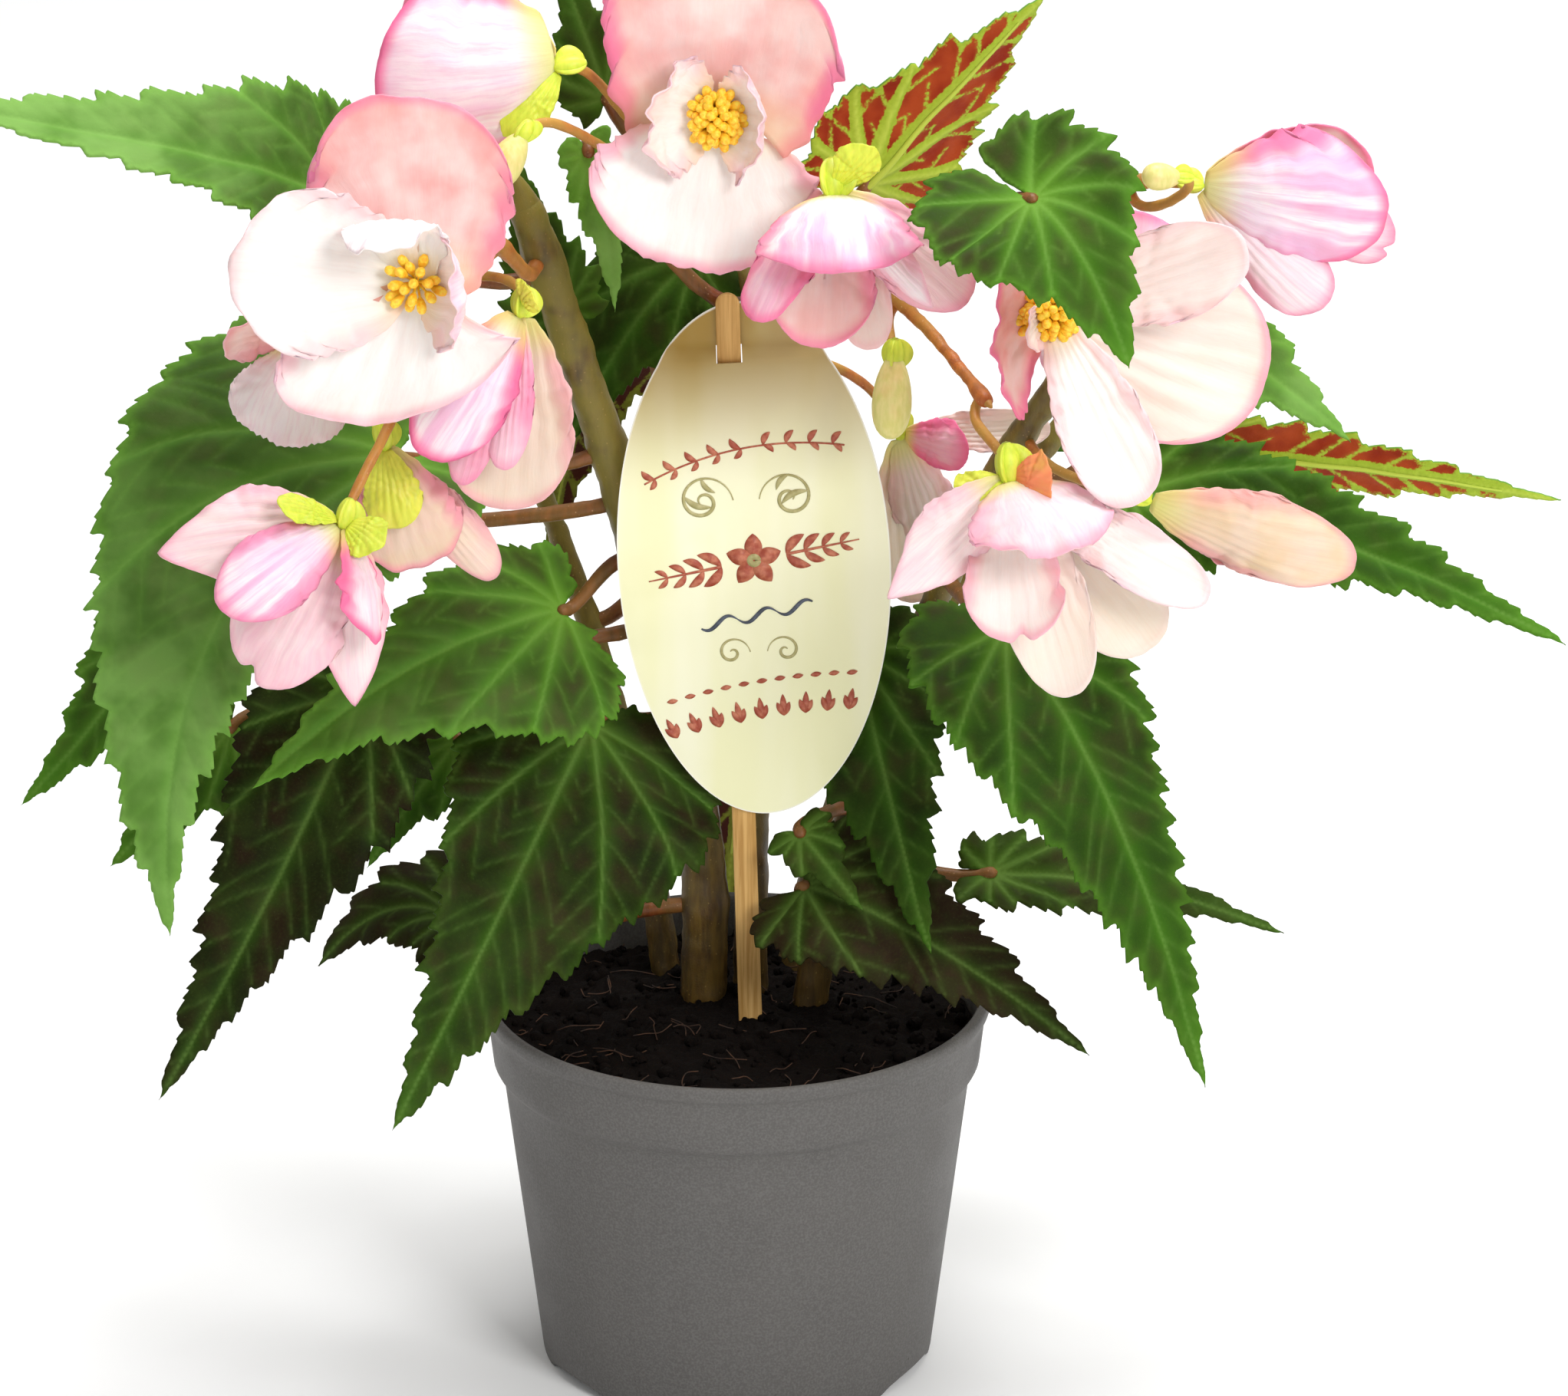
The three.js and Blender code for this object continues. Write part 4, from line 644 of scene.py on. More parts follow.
class Paint:
    """A material's nodes, added from its inputs to its shader."""

    def __init__(self, name, **shader):
        self.material = bpy.data.materials.new(name)
        self.material.use_nodes = True
        self.tree = self.material.node_tree
        self.colour = None
        self.shader = self.tree.nodes["Principled BSDF"]
        for socket, value in shader.items():
            self.shader.inputs[socket.replace("_", " ")].default_value = value

    def add(self, kind, output, inputs=None, **settings):
        """A node's output, with its inputs given as numbers or as other nodes' outputs."""
        node = self.tree.nodes.new(kind)
        for key, value in settings.items():
            setattr(node, key, value)
        for socket, value in (inputs or {}).items():
            if isinstance(value, bpy.types.NodeSocket):
                self.tree.links.new(value, node.inputs[socket])
            else:
                node.inputs[socket].default_value = value
        return node.outputs[output]

    def place(self):
        """The place in metres."""
        return self.add("ShaderNodeTexCoord", "Object")

    def value(self, name):
        """A painted number."""
        return self.add("ShaderNodeAttribute", "Fac", attribute_name=name)

    def vector(self, name):
        """A painted vector."""
        return self.add("ShaderNodeAttribute", "Vector", attribute_name=name)

    def noise(self, size, detail=3, roughness=0.5, distortion=0, vector=None):
        """Noise whose patches are about size millimetres wide."""
        return self.add("ShaderNodeTexNoise", "Fac", {
            "Vector": vector or self.place(), "Scale": 1 / (size * MM), "Detail": detail,
            "Roughness": roughness, "Distortion": distortion})

    def cells(self, size, feature="F1", vector=None):
        """The distance from the middles of cells about size millimetres wide, or from their edges."""
        return self.add("ShaderNodeTexVoronoi", "Distance", {
            "Vector": vector or self.place(), "Scale": 1 / (size * MM)}, feature=feature)

    def stretch(self, upright):
        """The place with its height scaled, which draws patterns out along the height."""
        return self.add("ShaderNodeMapping", "Vector", {"Vector": self.place(), "Scale": (1, 1, upright)})

    def plus(self, a, b, clamp=False):
        return self.add("ShaderNodeMath", 0, {0: a, 1: b}, operation="ADD", use_clamp=clamp)

    def times(self, a, b, clamp=False):
        return self.add("ShaderNodeMath", 0, {0: a, 1: b}, operation="MULTIPLY", use_clamp=clamp)

    def band(self, value, low, high, start=0.0, end=1.0):
        """value between low and high, eased to between start and end."""
        return self.add("ShaderNodeMapRange", 0, {0: value, 1: low, 2: high, 3: start, 4: end},
                        interpolation_type="SMOOTHSTEP")

    def mix(self, share, a, b):
        """A blend of two colours, each given by its screen code or by a node."""
        a, b = (srgb(colour) if isinstance(colour, int) else colour for colour in (a, b))
        return self.add("ShaderNodeMix", 2, {0: share, 6: a, 7: b}, data_type="RGBA")

    def coat(self, share, code):
        """Covers the colour so far with another one, by a share."""
        self.colour = self.mix(share, self.colour, code)

    def finish(self, roughness=None, height=None, height_mm=0.3, strength=1.0):
        """Joins the colour, a roughness and a relief to the shader."""
        self.tree.links.new(self.colour, self.shader.inputs["Base Color"])
        if roughness is not None:
            self.tree.links.new(roughness, self.shader.inputs["Roughness"])
        if height is not None:
            normal = self.add("ShaderNodeBump", 0, {"Height": height, "Distance": height_mm * MM,
                                                    "Strength": strength})
            self.tree.links.new(normal, self.shader.inputs["Normal"])
        return self.material


def pot_plastic():
    """Grey moulded plastic, faintly mottled, with a little dried dirt, most of it near the floor."""
    paint = Paint("pot_plastic", Specular_IOR_Level=0.25)
    mottle = paint.noise(22, 4)
    speckle = paint.noise(0.55, 2)
    dirt = paint.band(paint.noise(3.2, 5, 0.7), 0.66, 0.74)
    height = paint.add("ShaderNodeSeparateXYZ", 2, {0: paint.place()})
    paint.colour = paint.mix(mottle, 0x4C4A48, 0x5F5C59)
    paint.coat(paint.times(paint.noise(6, 3, vector=paint.stretch(0.12)), 0.5), 0x5E5D5B)
    paint.coat(paint.band(speckle, 0.35, 0.7, 0, 0.35), 0x777573)
    paint.coat(paint.times(dirt, paint.plus(0.25, paint.band(height, 0.0, 0.03, 1.0, 0.0))), 0x3A332D)
    return paint.finish(paint.band(mottle, 0.3, 0.7, 0.5, 0.68), speckle, 0.06, 0.5)


def peat():
    """Nearly black soil with brown grains."""
    paint = Paint("peat", Specular_IOR_Level=0.12)
    grains = paint.noise(1.1, 6, 0.65)
    paint.colour = paint.mix(paint.noise(9, 4), 0x050302, 0x130B07)
    paint.coat(paint.band(grains, 0.55, 0.78, 0, 0.6), 0x24150D)
    return paint.finish(paint.band(grains, 0.2, 0.8, 0.8, 1.0), grains, 0.8, 0.9)


def root_fibre():
    """Thin brown roots in the soil."""
    paint = Paint("root_fibre", Roughness=0.8)
    tone = paint.noise(3, 3)
    paint.colour = paint.mix(paint.band(tone, 0.3, 0.7), 0x1E120A, 0x4E301A)
    return paint.finish(height=tone, height_mm=0.1)


def birch():
    """Pale wood with its grain along the height."""
    paint = Paint("birch", Specular_IOR_Level=0.35)
    grain = paint.noise(1.0, 5, 0.6, 0.4, paint.stretch(0.035))
    paint.colour = paint.mix(paint.band(grain, 0.3, 0.7), 0xB98844, 0xE9BD77)
    paint.coat(paint.times(paint.noise(14, 2), 0.4), 0xCFA05A)
    return paint.finish(paint.band(grain, 0.3, 0.7, 0.55, 0.75), grain, 0.15, 0.6)


def card_stock():
    """Cream card with painted shade that darkens it to brown-gold towards its top, and a white cut edge."""
    paint = Paint("card_stock", Specular_IOR_Level=0.3)
    bands = paint.noise(16, 2, vector=paint.stretch(0.16))
    fibre = paint.noise(0.6, 3)
    # Painted shade: the top of the card darkens where the leaves above shade it, a little less in the
    # lighter upright bands.
    top_shade = paint.band(paint.value("height"), 0.25, 0.9, 0.0, 0.97)
    # Soft upright bands of painted light and shade over the cream.
    paint.colour = paint.mix(paint.band(bands, 0.35, 0.7), 0xF6F5C6, 0xFCFBDC)
    paint.coat(paint.times(top_shade, paint.band(bands, 0.3, 0.62, 1.0, 0.85)), 0xA47E0C)
    paint.coat(paint.band(paint.noise(26, 3), 0.55, 0.75, 0, 0.25), 0xE4E2A8)
    paint.coat(paint.value("rim"), 0xFBFAF2)
    return paint.finish(paint.band(fibre, 0.3, 0.7, 0.32, 0.44), fibre, 0.03, 0.3)


def ink(name, dark, light):
    """Printed ink, a little worn."""
    paint = Paint(name, Roughness=0.45)
    wear = paint.noise(1.6, 4)
    paint.colour = paint.mix(paint.band(wear, 0.35, 0.7), dark, light)
    return paint.finish(height=wear, height_mm=0.02, strength=0.3)


def stem_skin(name, dark, middle, tip, speck):
    """A fleshy stem: long streaks, small pale pores, and a warmer tone towards its young end."""
    paint = Paint(name, Specular_IOR_Level=0.45, Subsurface_Weight=0.08, Subsurface_Scale=0.002)
    streaks = paint.noise(2.2, 4, vector=paint.stretch(0.2))
    blotch = paint.noise(11, 3)
    paint.colour = paint.mix(paint.band(streaks, 0.3, 0.7), dark, middle)
    paint.coat(paint.times(paint.value("along"), paint.band(blotch, 0.2, 0.6)), tip)
    paint.coat(paint.band(paint.cells(1.6), 0.06, 0.16, 0.55, 0.0), speck)
    fuzz = paint.plus(streaks, paint.times(paint.noise(0.4, 2), 0.5))
    return paint.finish(paint.band(blotch, 0.3, 0.7, 0.4, 0.6), fuzz, 0.25, 0.7)


def leaf_upper():
    """Dark olive to bronze between soft green bands along the veins, freshest towards the tip, with a
    painted greyish sheen on the brightest leaves.
    """
    paint = Paint("leaf_upper", Specular_IOR_Level=0.06)
    flat = paint.vector("flat")
    blotch = paint.noise(13, 3, vector=flat)
    fine = paint.noise(0.7, 4, 0.6, vector=flat)
    hairs = paint.cells(1.1, vector=flat)
    net = paint.cells(2.6, "DISTANCE_TO_EDGE", flat)
    fresh = paint.value("fresh")
    patches = paint.band(paint.noise(9, 2, vector=flat), 0.4, 0.7, -0.25, 0.4)
    bronze = paint.plus(paint.value("bronze"), patches, True)
    share = paint.plus(paint.band(blotch, 0.3, 0.75, -0.1, 0.16), paint.times(fresh, 0.55))
    dark = paint.mix(bronze, 0x131E05, 0x22140B)
    bright = paint.mix(bronze, 0x47721C, 0x584A34)
    paint.colour = paint.mix(paint.times(share, 0.85, True), dark, bright)
    # A painted value and its strength on the darkest leaf and on the freshest, and its colour.
    for name, least, most, code in (("halo", 0.12, 0.8, 0x3B6F14), ("joint", 0.1, 1.0, 0x7FB534),
                                    ("tip", 0.02, 0.7, 0x4A8418), ("glow", 0.1, 0.45, 0x558A26),
                                    ("rim", 0.0, 0.9, 0x5F962A)):
        strength = paint.plus(least, paint.times(fresh, most - least))
        paint.coat(paint.times(paint.value(name), strength, True), code)
    paint.coat(paint.times(paint.value("vein"), 0.22), 0x8DB35C)
    paint.coat(paint.band(fine, 0.4, 0.85, 0, 0.06), 0x64803C)
    # Painted sheen: a pale grey-green highlight on the brightest leaves, strongest towards the tip.
    painted_sheen = paint.times(paint.band(fresh, 0.5, 0.8, 0.0, 0.7), paint.band(blotch, 0.3, 0.65, 0.4, 1.0))
    paint.coat(paint.times(painted_sheen, paint.band(paint.value("tip"), 0.05, 0.6, 0.3, 1.0)), 0x86B05C)
    paint.coat(paint.band(hairs, 0.04, 0.1, 0.07, 0.0), 0xA3B77E)
    relief = paint.plus(paint.times(fine, 0.6), paint.times(paint.band(net, 0.0, 0.3), 0.35))
    return paint.finish(paint.band(fine, 0.3, 0.7, 0.55, 0.68), relief, 0.2, 0.4)


def leaf_under():
    """Brick red fields between broad lime veins, darkened by painted shade on the leaves that hang in
    shadow.
    """
    paint = Paint("leaf_under", Specular_IOR_Level=0.15)
    flat = paint.vector("flat")
    fine = paint.noise(0.9, 4, 0.6, vector=flat)
    fresh = paint.value("fresh")
    red = paint.mix(paint.band(paint.noise(9, 2, vector=flat), 0.3, 0.7), 0x8A2408, 0xA8431A)
    # Painted shade: the red darkens, and the lime and the veins fade, on leaves with a low share of fresh
    # green, which hang in shadow.
    red = paint.mix(paint.band(fresh, 0.2, 0.6), 0x42180B, red)
    green = paint.mix(fine, 0x86A024, 0xAEC53C)
    ragged = paint.plus(paint.value("glow"), paint.band(fine, 0.3, 0.7, -0.08, 0.08))
    lime = paint.plus(ragged, paint.times(paint.value("rim"), 0.4), True)
    lime = paint.times(paint.band(lime, 0.28, 0.42), paint.band(fresh, 0.1, 0.6, 0.3, 1.0))
    paint.colour = paint.mix(lime, red, green)
    paint.coat(paint.times(paint.value("vein"), paint.band(fresh, 0.1, 0.6, 0.4, 0.8)), 0xC2D455)
    return paint.finish(paint.band(fine, 0.3, 0.7, 0.5, 0.65), fine, 0.2, 0.6)


def petal_skin(name, body, deep, streak_share, shade):
    """A petal's side: cream to pink, a hot pink margin, fine long streaks, a yellow-green base, and a beige
    that is partly its own tint and partly painted shade.
    """
    paint = Paint(name, Roughness=0.5, Specular_IOR_Level=0.3, Subsurface_Weight=0.25,
                  Subsurface_Scale=0.002, Subsurface_Radius=(1.0, 0.55, 0.45))
    streaks = paint.noise(1.0, 4, 0.6, vector=paint.vector("grain"))
    rays = paint.noise(4.2, 1, 0.4, vector=paint.vector("grain"))
    cloud = paint.noise(11, 3)
    hot, lilac, edge, along = (paint.value(key) for key in ("hot", "lilac", "edge", "along"))
    from_edge = paint.plus(1.0, paint.times(edge, -1.0))
    margin = paint.times(paint.times(paint.times(from_edge, from_edge), hot), 0.3)
    blush = paint.times(paint.value("blush"), paint.band(cloud, 0.25, 0.7, 0.5, 1.0))
    paint.colour = paint.mix(paint.plus(blush, margin, True), body, deep)
    drawn = paint.plus(streak_share, paint.times(lilac, 0.2))
    paint.coat(paint.times(paint.band(streaks, 0.42, 0.68), drawn, True), shade)
    fanned = paint.times(paint.plus(lilac, paint.times(hot, 0.35)), paint.band(along, 0.15, 0.6))
    paint.coat(paint.times(paint.times(paint.band(rays, 0.42, 0.62), fanned), 0.6, True), shade)
    paint.coat(paint.times(lilac, paint.band(cloud, 0.35, 0.75, 0.0, 0.6)), 0xEBC8E6)
    # Beige: partly the petal's own tint, partly painted shade on petals that lie in shadow.
    paint.coat(paint.times(paint.value("warm"), paint.band(cloud, 0.2, 0.7, 0.9, 0.6)), 0xE0BE8E)
    paint.coat(paint.times(paint.band(edge, 0.0, 0.34, 0.85, 0.0), hot, True), 0xEE6E9A)
    paint.coat(paint.times(paint.value("base"), paint.band(along, 0.02, 0.26, 0.8, 0.0)), 0xDFE070)
    return paint.finish(None, paint.plus(streaks, paint.times(paint.noise(2.5, 3), 0.6)), 0.25, 0.5)


def bract_skin(name, pale, deep, blotches):
    """Lime to yellow with warmer blotches, and its own orange where it is tinted."""
    paint = Paint(name, Roughness=0.45, Specular_IOR_Level=0.4, Subsurface_Weight=0.15,
                  Subsurface_Scale=0.002)
    blotch = paint.noise(6, 3)
    streaks = paint.noise(1.2, 3, vector=paint.stretch(0.3))
    paint.colour = paint.mix(paint.band(streaks, 0.3, 0.7, 0.0, 0.7), pale, deep)
    paint.coat(paint.band(blotch, 0.5, 0.75, 0, 0.4), blotches)
    paint.coat(paint.times(paint.value("warm"), paint.band(blotch, 0.2, 0.6, 0.7, 1.0)), 0xEC8A5C)
    return paint.finish(None, streaks, 0.12, 0.4)


def stamen_skin():
    """Golden yellow."""
    paint = Paint("stamen_gold", Roughness=0.5, Subsurface_Weight=0.2, Subsurface_Scale=0.001)
    grain = paint.noise(0.8, 3)
    paint.colour = paint.mix(paint.band(grain, 0.3, 0.7), 0xFFB820, 0xFFE24A)
    return paint.finish(None, grain, 0.15, 0.6)


def floor_paint():
    """The white floor under the pot."""
    paint = Paint("floor_paint", Roughness=0.85, Specular_IOR_Level=0.2)
    paint.colour = paint.mix(paint.noise(400, 2), 0xF6F6F5, 0xFAFAFA)
    return paint.finish()


POT_PLASTIC = pot_plastic()
PEAT = peat()
ROOT_FIBRE = root_fibre()
BIRCH = birch()
CARD = card_stock()
INK_RED = ink("ink_red", 0xA84A34, 0xCB7B5C)
INK_OLIVE = ink("ink_olive", 0xA8A067, 0xC2BA84)
INK_SLATE = ink("ink_slate", 0x3F4653, 0x596170)
STEM = stem_skin("stem_skin", 0x34190B, 0x6E5220, 0x867A2E, 0xA88C50)
STALK = stem_skin("stalk_skin", 0xA04A1C, 0xC56A2C, 0xB98E3C, 0xE2B27C)
PETIOLE = stem_skin("petiole_skin", 0x5A2412, 0x8A4422, 0x84682A, 0xC8A070)
LEAF_UPPER = leaf_upper()
LEAF_UNDER = leaf_under()
PETAL_IN = petal_skin("petal_inner", 0xFBF6F0, 0xEDA5A2, 0.1, 0xE9B8AC)
PETAL_OUT = petal_skin("petal_outer", 0xFAF2F0, 0xEE9DB4, 0.2, 0xE68CB8)
LIME = bract_skin("bract_lime", 0xDDE94C, 0xBFD23A, 0xEBDD66)
BUD_CREAM = bract_skin("bud_cream", 0xE6DB90, 0xCFCB6C, 0xEABE86)
STAMEN = stamen_skin()


# ---------- pot ----------
def pot_profile():
    """Radius and height round the pot's section, from the foot outside over the lip to the floor."""
    lip_bottom = POT_HEIGHT - LIP_HEIGHT
    corners = [  # radius, height, and the number of steps to the next corner
        (FOOT_RING_RADIUS, FOOT_HEIGHT, 1), (FOOT_RING_RADIUS + 1, 0, 2), (BASE_RADIUS - 0.5, 0, 1),
        (BASE_RADIUS, 0.5, 1), (BASE_RADIUS + 0.2, 1.5, 1), (BASE_RADIUS + 0.35, 2.7, 10),
        (BODY_TOP_RADIUS, BODY_TOP_Z, 2), (COLLAR_BOTTOM_RADIUS - 0.4, COLLAR_BOTTOM_Z - 0.5, 1),
        (COLLAR_BOTTOM_RADIUS, COLLAR_BOTTOM_Z + 0.3, 5), (RIM_RADIUS - 1.2, lip_bottom, 2),
        (RIM_RADIUS - 0.25, lip_bottom + 0.9, 1), (RIM_RADIUS, lip_bottom + 1.7, 2),
        (RIM_RADIUS, POT_HEIGHT - 0.9, 1), (RIM_RADIUS - 0.25, POT_HEIGHT - 0.3, 1),
        (RIM_RADIUS - 0.8, POT_HEIGHT, 1), (RIM_RADIUS - 1.9, POT_HEIGHT, 1),
        (RIM_RADIUS - 2.5, POT_HEIGHT - 0.4, 2), (RIM_RADIUS - LIP_THICKENING - POT_WALL, lip_bottom, 4),
        (COLLAR_BOTTOM_RADIUS - POT_WALL, COLLAR_BOTTOM_Z, 2), (BODY_TOP_RADIUS - POT_WALL, BODY_TOP_Z, 8),
        (INNER_BASE_RADIUS, FLOOR_TOP_Z, 1),
    ]
    profile = []
    for (r0, z0, steps), (r1, z1, _) in zip(corners, corners[1:]):
        profile += [(r0 + (r1 - r0) * k / steps, z0 + (z1 - z0) * k / steps) for k in range(steps)]
    return np.array(profile + [corners[-1][:2]])


def circle(radius, sides, centre=(0, 0)):
    """Flat points round a circle."""
    angles = np.linspace(0, 2 * np.pi, sides, endpoint=False)
    return np.stack([centre[0] + radius * np.cos(angles), centre[1] + radius * np.sin(angles)], axis=1)


def level(flat, z):
    """Flat points at a height, or each at a height of its own."""
    return np.column_stack([flat, np.broadcast_to(z, len(flat))])


def floor_disc(radius, holes, z, upwards):
    """A flat disc with the drain holes in it."""
    rings = [circle(DRAIN_RADIUS, DRAIN_SIDES, centre) for centre in holes]
    flat, faces = triangulate([circle(radius, POT_SIDES), *rings])
    middles = flat[faces].mean(axis=1)
    from_holes = np.linalg.norm(middles[:, None] - holes, axis=2).min(axis=1)
    return level(flat, z), wound(flat, faces[from_holes > DRAIN_RADIUS], upwards)


def make_pot():
    """The pot, with shallow arches in its foot ring and drain holes in its floor."""
    profile = pot_profile()
    angles = np.linspace(0, 2 * np.pi, POT_SIDES, endpoint=False)
    arch_step = 2 * np.pi / FOOT_ARCHES
    from_arch = (angles - math.radians(FIRST_ARCH_DEG) + arch_step / 2) % arch_step - arch_step / 2
    reach = from_arch * BASE_RADIUS / (ARCH_WIDTH / 2)
    arch = ARCH_HEIGHT * np.sqrt(np.clip(1 - reach**2, 0, 1))
    radius, height = profile[:, 0][:, None], profile[:, 1][:, None]
    lifted = np.where(height < FOOT_HEIGHT, arch + (1 - arch / FOOT_HEIGHT) * height, height)
    points = np.stack([radius * np.cos(angles), radius * np.sin(angles), lifted], axis=-1).reshape(-1, 3)
    holes = circle(DRAIN_CIRCLE_RADIUS, DRAIN_HOLES)
    shape = Shape()
    shape.add(points, grid_faces(len(profile), POT_SIDES, closed=True)[:, ::-1], POT_PLASTIC)
    shape.add(*floor_disc(profile[0, 0], holes, FOOT_HEIGHT, False), POT_PLASTIC)
    shape.add(*floor_disc(profile[-1, 0], holes, FLOOR_TOP_Z, True), POT_PLASTIC)
    for centre in holes:
        ring = circle(DRAIN_RADIUS, DRAIN_SIDES, centre)
        wall = np.vstack([level(ring, FOOT_HEIGHT), level(ring, FLOOR_TOP_Z)])
        shape.add(wall, grid_faces(2, DRAIN_SIDES, closed=True), POT_PLASTIC)
    pot = shape.make("pot_body", "pot_plastic", "pot")
    weld(pot)
    sharpen(pot, 50)


# ---------- soil ----------
def inner_radius(z):
    """The pot's inner radius at a height."""
    heights = (FLOOR_TOP_Z, BODY_TOP_Z, COLLAR_BOTTOM_Z, POT_HEIGHT - LIP_HEIGHT)
    radii = (INNER_BASE_RADIUS, BODY_TOP_RADIUS - POT_WALL, COLLAR_BOTTOM_RADIUS - POT_WALL,
             RIM_RADIUS - LIP_THICKENING - POT_WALL)
    return np.interp(z, heights, radii)


def soil_height(x, y):
    """The soil's surface: a low mound with clods and crumbs in it."""
    spot = Vector((x, y, 0))
    mound = SOIL_MIDDLE_Z - (SOIL_MIDDLE_Z - SOIL_EDGE_Z) * (math.hypot(x, y) / SOIL_MOUND_RADIUS)**2
    clods = noise.fractal(spot / CLOD_SIZE, 0.8, 2.2, 4) * CLOD_HEIGHT
    crumbs = abs(noise.noise(spot / 1.9)) * 1.3 + abs(noise.noise(spot / 0.9 + Vector((7, 3, 1)))) * 0.5
    return mound + clods + crumbs


def make_soil():
    """The peat, from its flat bottom up along the pot's wall and over its lumpy top."""
    bottom = FLOOR_TOP_Z + GAP
    rows = [level(circle(1, SOIL_SIDES), bottom)]
    for z in (bottom, SOIL_WALL_Z, BODY_TOP_Z, COLLAR_BOTTOM_Z):
        rows.append(level(circle(inner_radius(z) - GAP, SOIL_SIDES), z))
    for radius in np.linspace(inner_radius(SOIL_EDGE_Z) - GAP, 1, SOIL_RINGS):
        ring = circle(radius, SOIL_SIDES)
        rows.append(level(ring, [soil_height(x, y) for x, y in ring]))
    shape = Shape()
    shape.add_turned(np.vstack(rows), SOIL_SIDES, [(0, 0, bottom), (0, 0, soil_height(0, 0))], PEAT)
    sharpen(shape.make("soil_bed", "peat", "soil"), 70)


def soil_spot(rng, edge):
    """A random place on the soil within a radius."""
    radius, turn = edge * math.sqrt(rng.random()), rng.random() * 2 * math.pi
    return radius * math.cos(turn), radius * math.sin(turn)


def make_crumbs():
    """Loose crumbs and root fibres on the soil."""
    rng = np.random.default_rng(11)
    shape = Shape()
    edge = inner_radius(SOIL_EDGE_Z) - 2
    for _ in range(CRUMBS):
        x, y = soil_spot(rng, edge)
        size = CRUMB_RADIUS + CRUMB_SPREAD * rng.random()**2.5
        axis = unit(rng.normal(size=3))
        centre = np.array([x, y, soil_height(x, y) + size * 0.3])
        add_egg(shape, centre, axis, size, size * (1.6 + rng.random()), PEAT, rings=6, sides=8)
        points = shape.points[-1]
        points += rng.normal(scale=size * 0.12, size=points.shape)
    for _ in range(ROOT_FIBRES):
        x, y = soil_spot(rng, edge)
        heading = rng.random() * 2 * math.pi
        length = FIBRE_LENGTH + FIBRE_SPREAD * rng.random()
        points = []
        for _ in range(4):
            heading += rng.normal(scale=0.5)
            points.append((x, y, soil_height(x, y) + 0.5 + 1.2 * rng.random()))
            x += math.cos(heading) * length / 3
            y += math.sin(heading) * length / 3
            x, y = np.array([x, y]) * min(1, edge / math.hypot(x, y))
        add_tube(shape, smooth_path(points, 6), even(FIBRE_RADIUS), ROOT_FIBRE, 5, 1.0)
    shape.make("soil_crumbs", "peat")


# ---------- label ----------
def leaned(points, lean_deg, foot):
    """Upright points (x, depth, z) leaned about the depth axis and set on a foot."""
    lean = math.radians(lean_deg)
    x, y, z = np.asarray(points, float).T
    return np.column_stack([x * math.cos(lean) + z * math.sin(lean) + foot[0], y + foot[1],
                            z * math.cos(lean) - x * math.sin(lean) + foot[2]])


def make_stick():
    """A flat stick, pointed in the soil and round above, with softened edges."""
    half = STICK_WIDTH / 2
    arc = np.linspace(0, np.pi, 17)[1:-1]
    right = [(half, z) for z in np.linspace(STICK_POINT_LENGTH, STICK_LENGTH - half, 60)]
    cap = [(half * math.cos(a), STICK_LENGTH - half + half * math.sin(a)) for a in arc]
    left = [(-x, z) for x, z in reversed(right)]
    outline = np.array([(0.0, 0.0)] + right + cap + left)
    to_middle = np.clip(STICK_LENGTH / 2 - outline[:, 1], -1, 1) * 0.02
    inset = outline + unit(np.column_stack([-outline[:, 0], to_middle]) + 1e-9) * STICK_BEVEL
    face = STICK_THICKNESS / 2
    count = len(outline)
    rows = [np.column_stack([line[:, 0], np.full(count, depth), line[:, 1]]) for depth, line in (
        (-face, inset), (-face + STICK_BEVEL, outline), (face - STICK_BEVEL, outline), (face, inset))]
    shape = Shape()
    shape.add(leaned(np.vstack(rows), STICK_LEAN_DEG, STICK_FOOT), grid_faces(4, count, closed=True), BIRCH)
    low = np.arange(1, count // 2)
    front = np.stack([low, low + 1, count - low - 1, count - low], axis=1)
    tip = np.array([[0, 1, count - 1]])
    back = 3 * count
    shape.faces += [(block, BIRCH) for block in (front, tip, front[:, ::-1] + back, tip[:, ::-1] + back)]
    stick = shape.make("label_stick_wood", "label_wood", "label_stick")
    weld(stick)
    sharpen(stick, 60)


def card_offset(z):
    """How far the card stands before the stick below its slot, and behind it above the slot."""
    offset = (STICK_THICKNESS + CARD_THICKNESS) / 2 + GAP
    return -offset * (1 - 2 * smoothstep(SLOT_BOTTOM, SLOT_BOTTOM + SLOT_HEIGHT, z))


def card_points(flat, depth):
    """Points of the card's plane, a depth behind its middle, in their place."""
    x, z = np.asarray(flat, float).T
    return leaned(np.column_stack([x, card_offset(z) + depth, z]), CARD_LEAN_DEG, CARD_CENTRE)


def card_ellipse(inset):
    """The card's outline, drawn in by an inset."""
    return circle(1, CARD_SIDES) * (CARD_WIDTH / 2 - inset, CARD_HEIGHT / 2 - inset)


def near_slot(flat, room):
    """Which flat points lie in the slot or within some room of it."""
    x, z = flat.T
    return ((np.abs(x - SLOT_LEFT - SLOT_WIDTH / 2) < SLOT_WIDTH / 2 + room)
            & (np.abs(z - SLOT_BOTTOM - SLOT_HEIGHT / 2) < SLOT_HEIGHT / 2 + room))


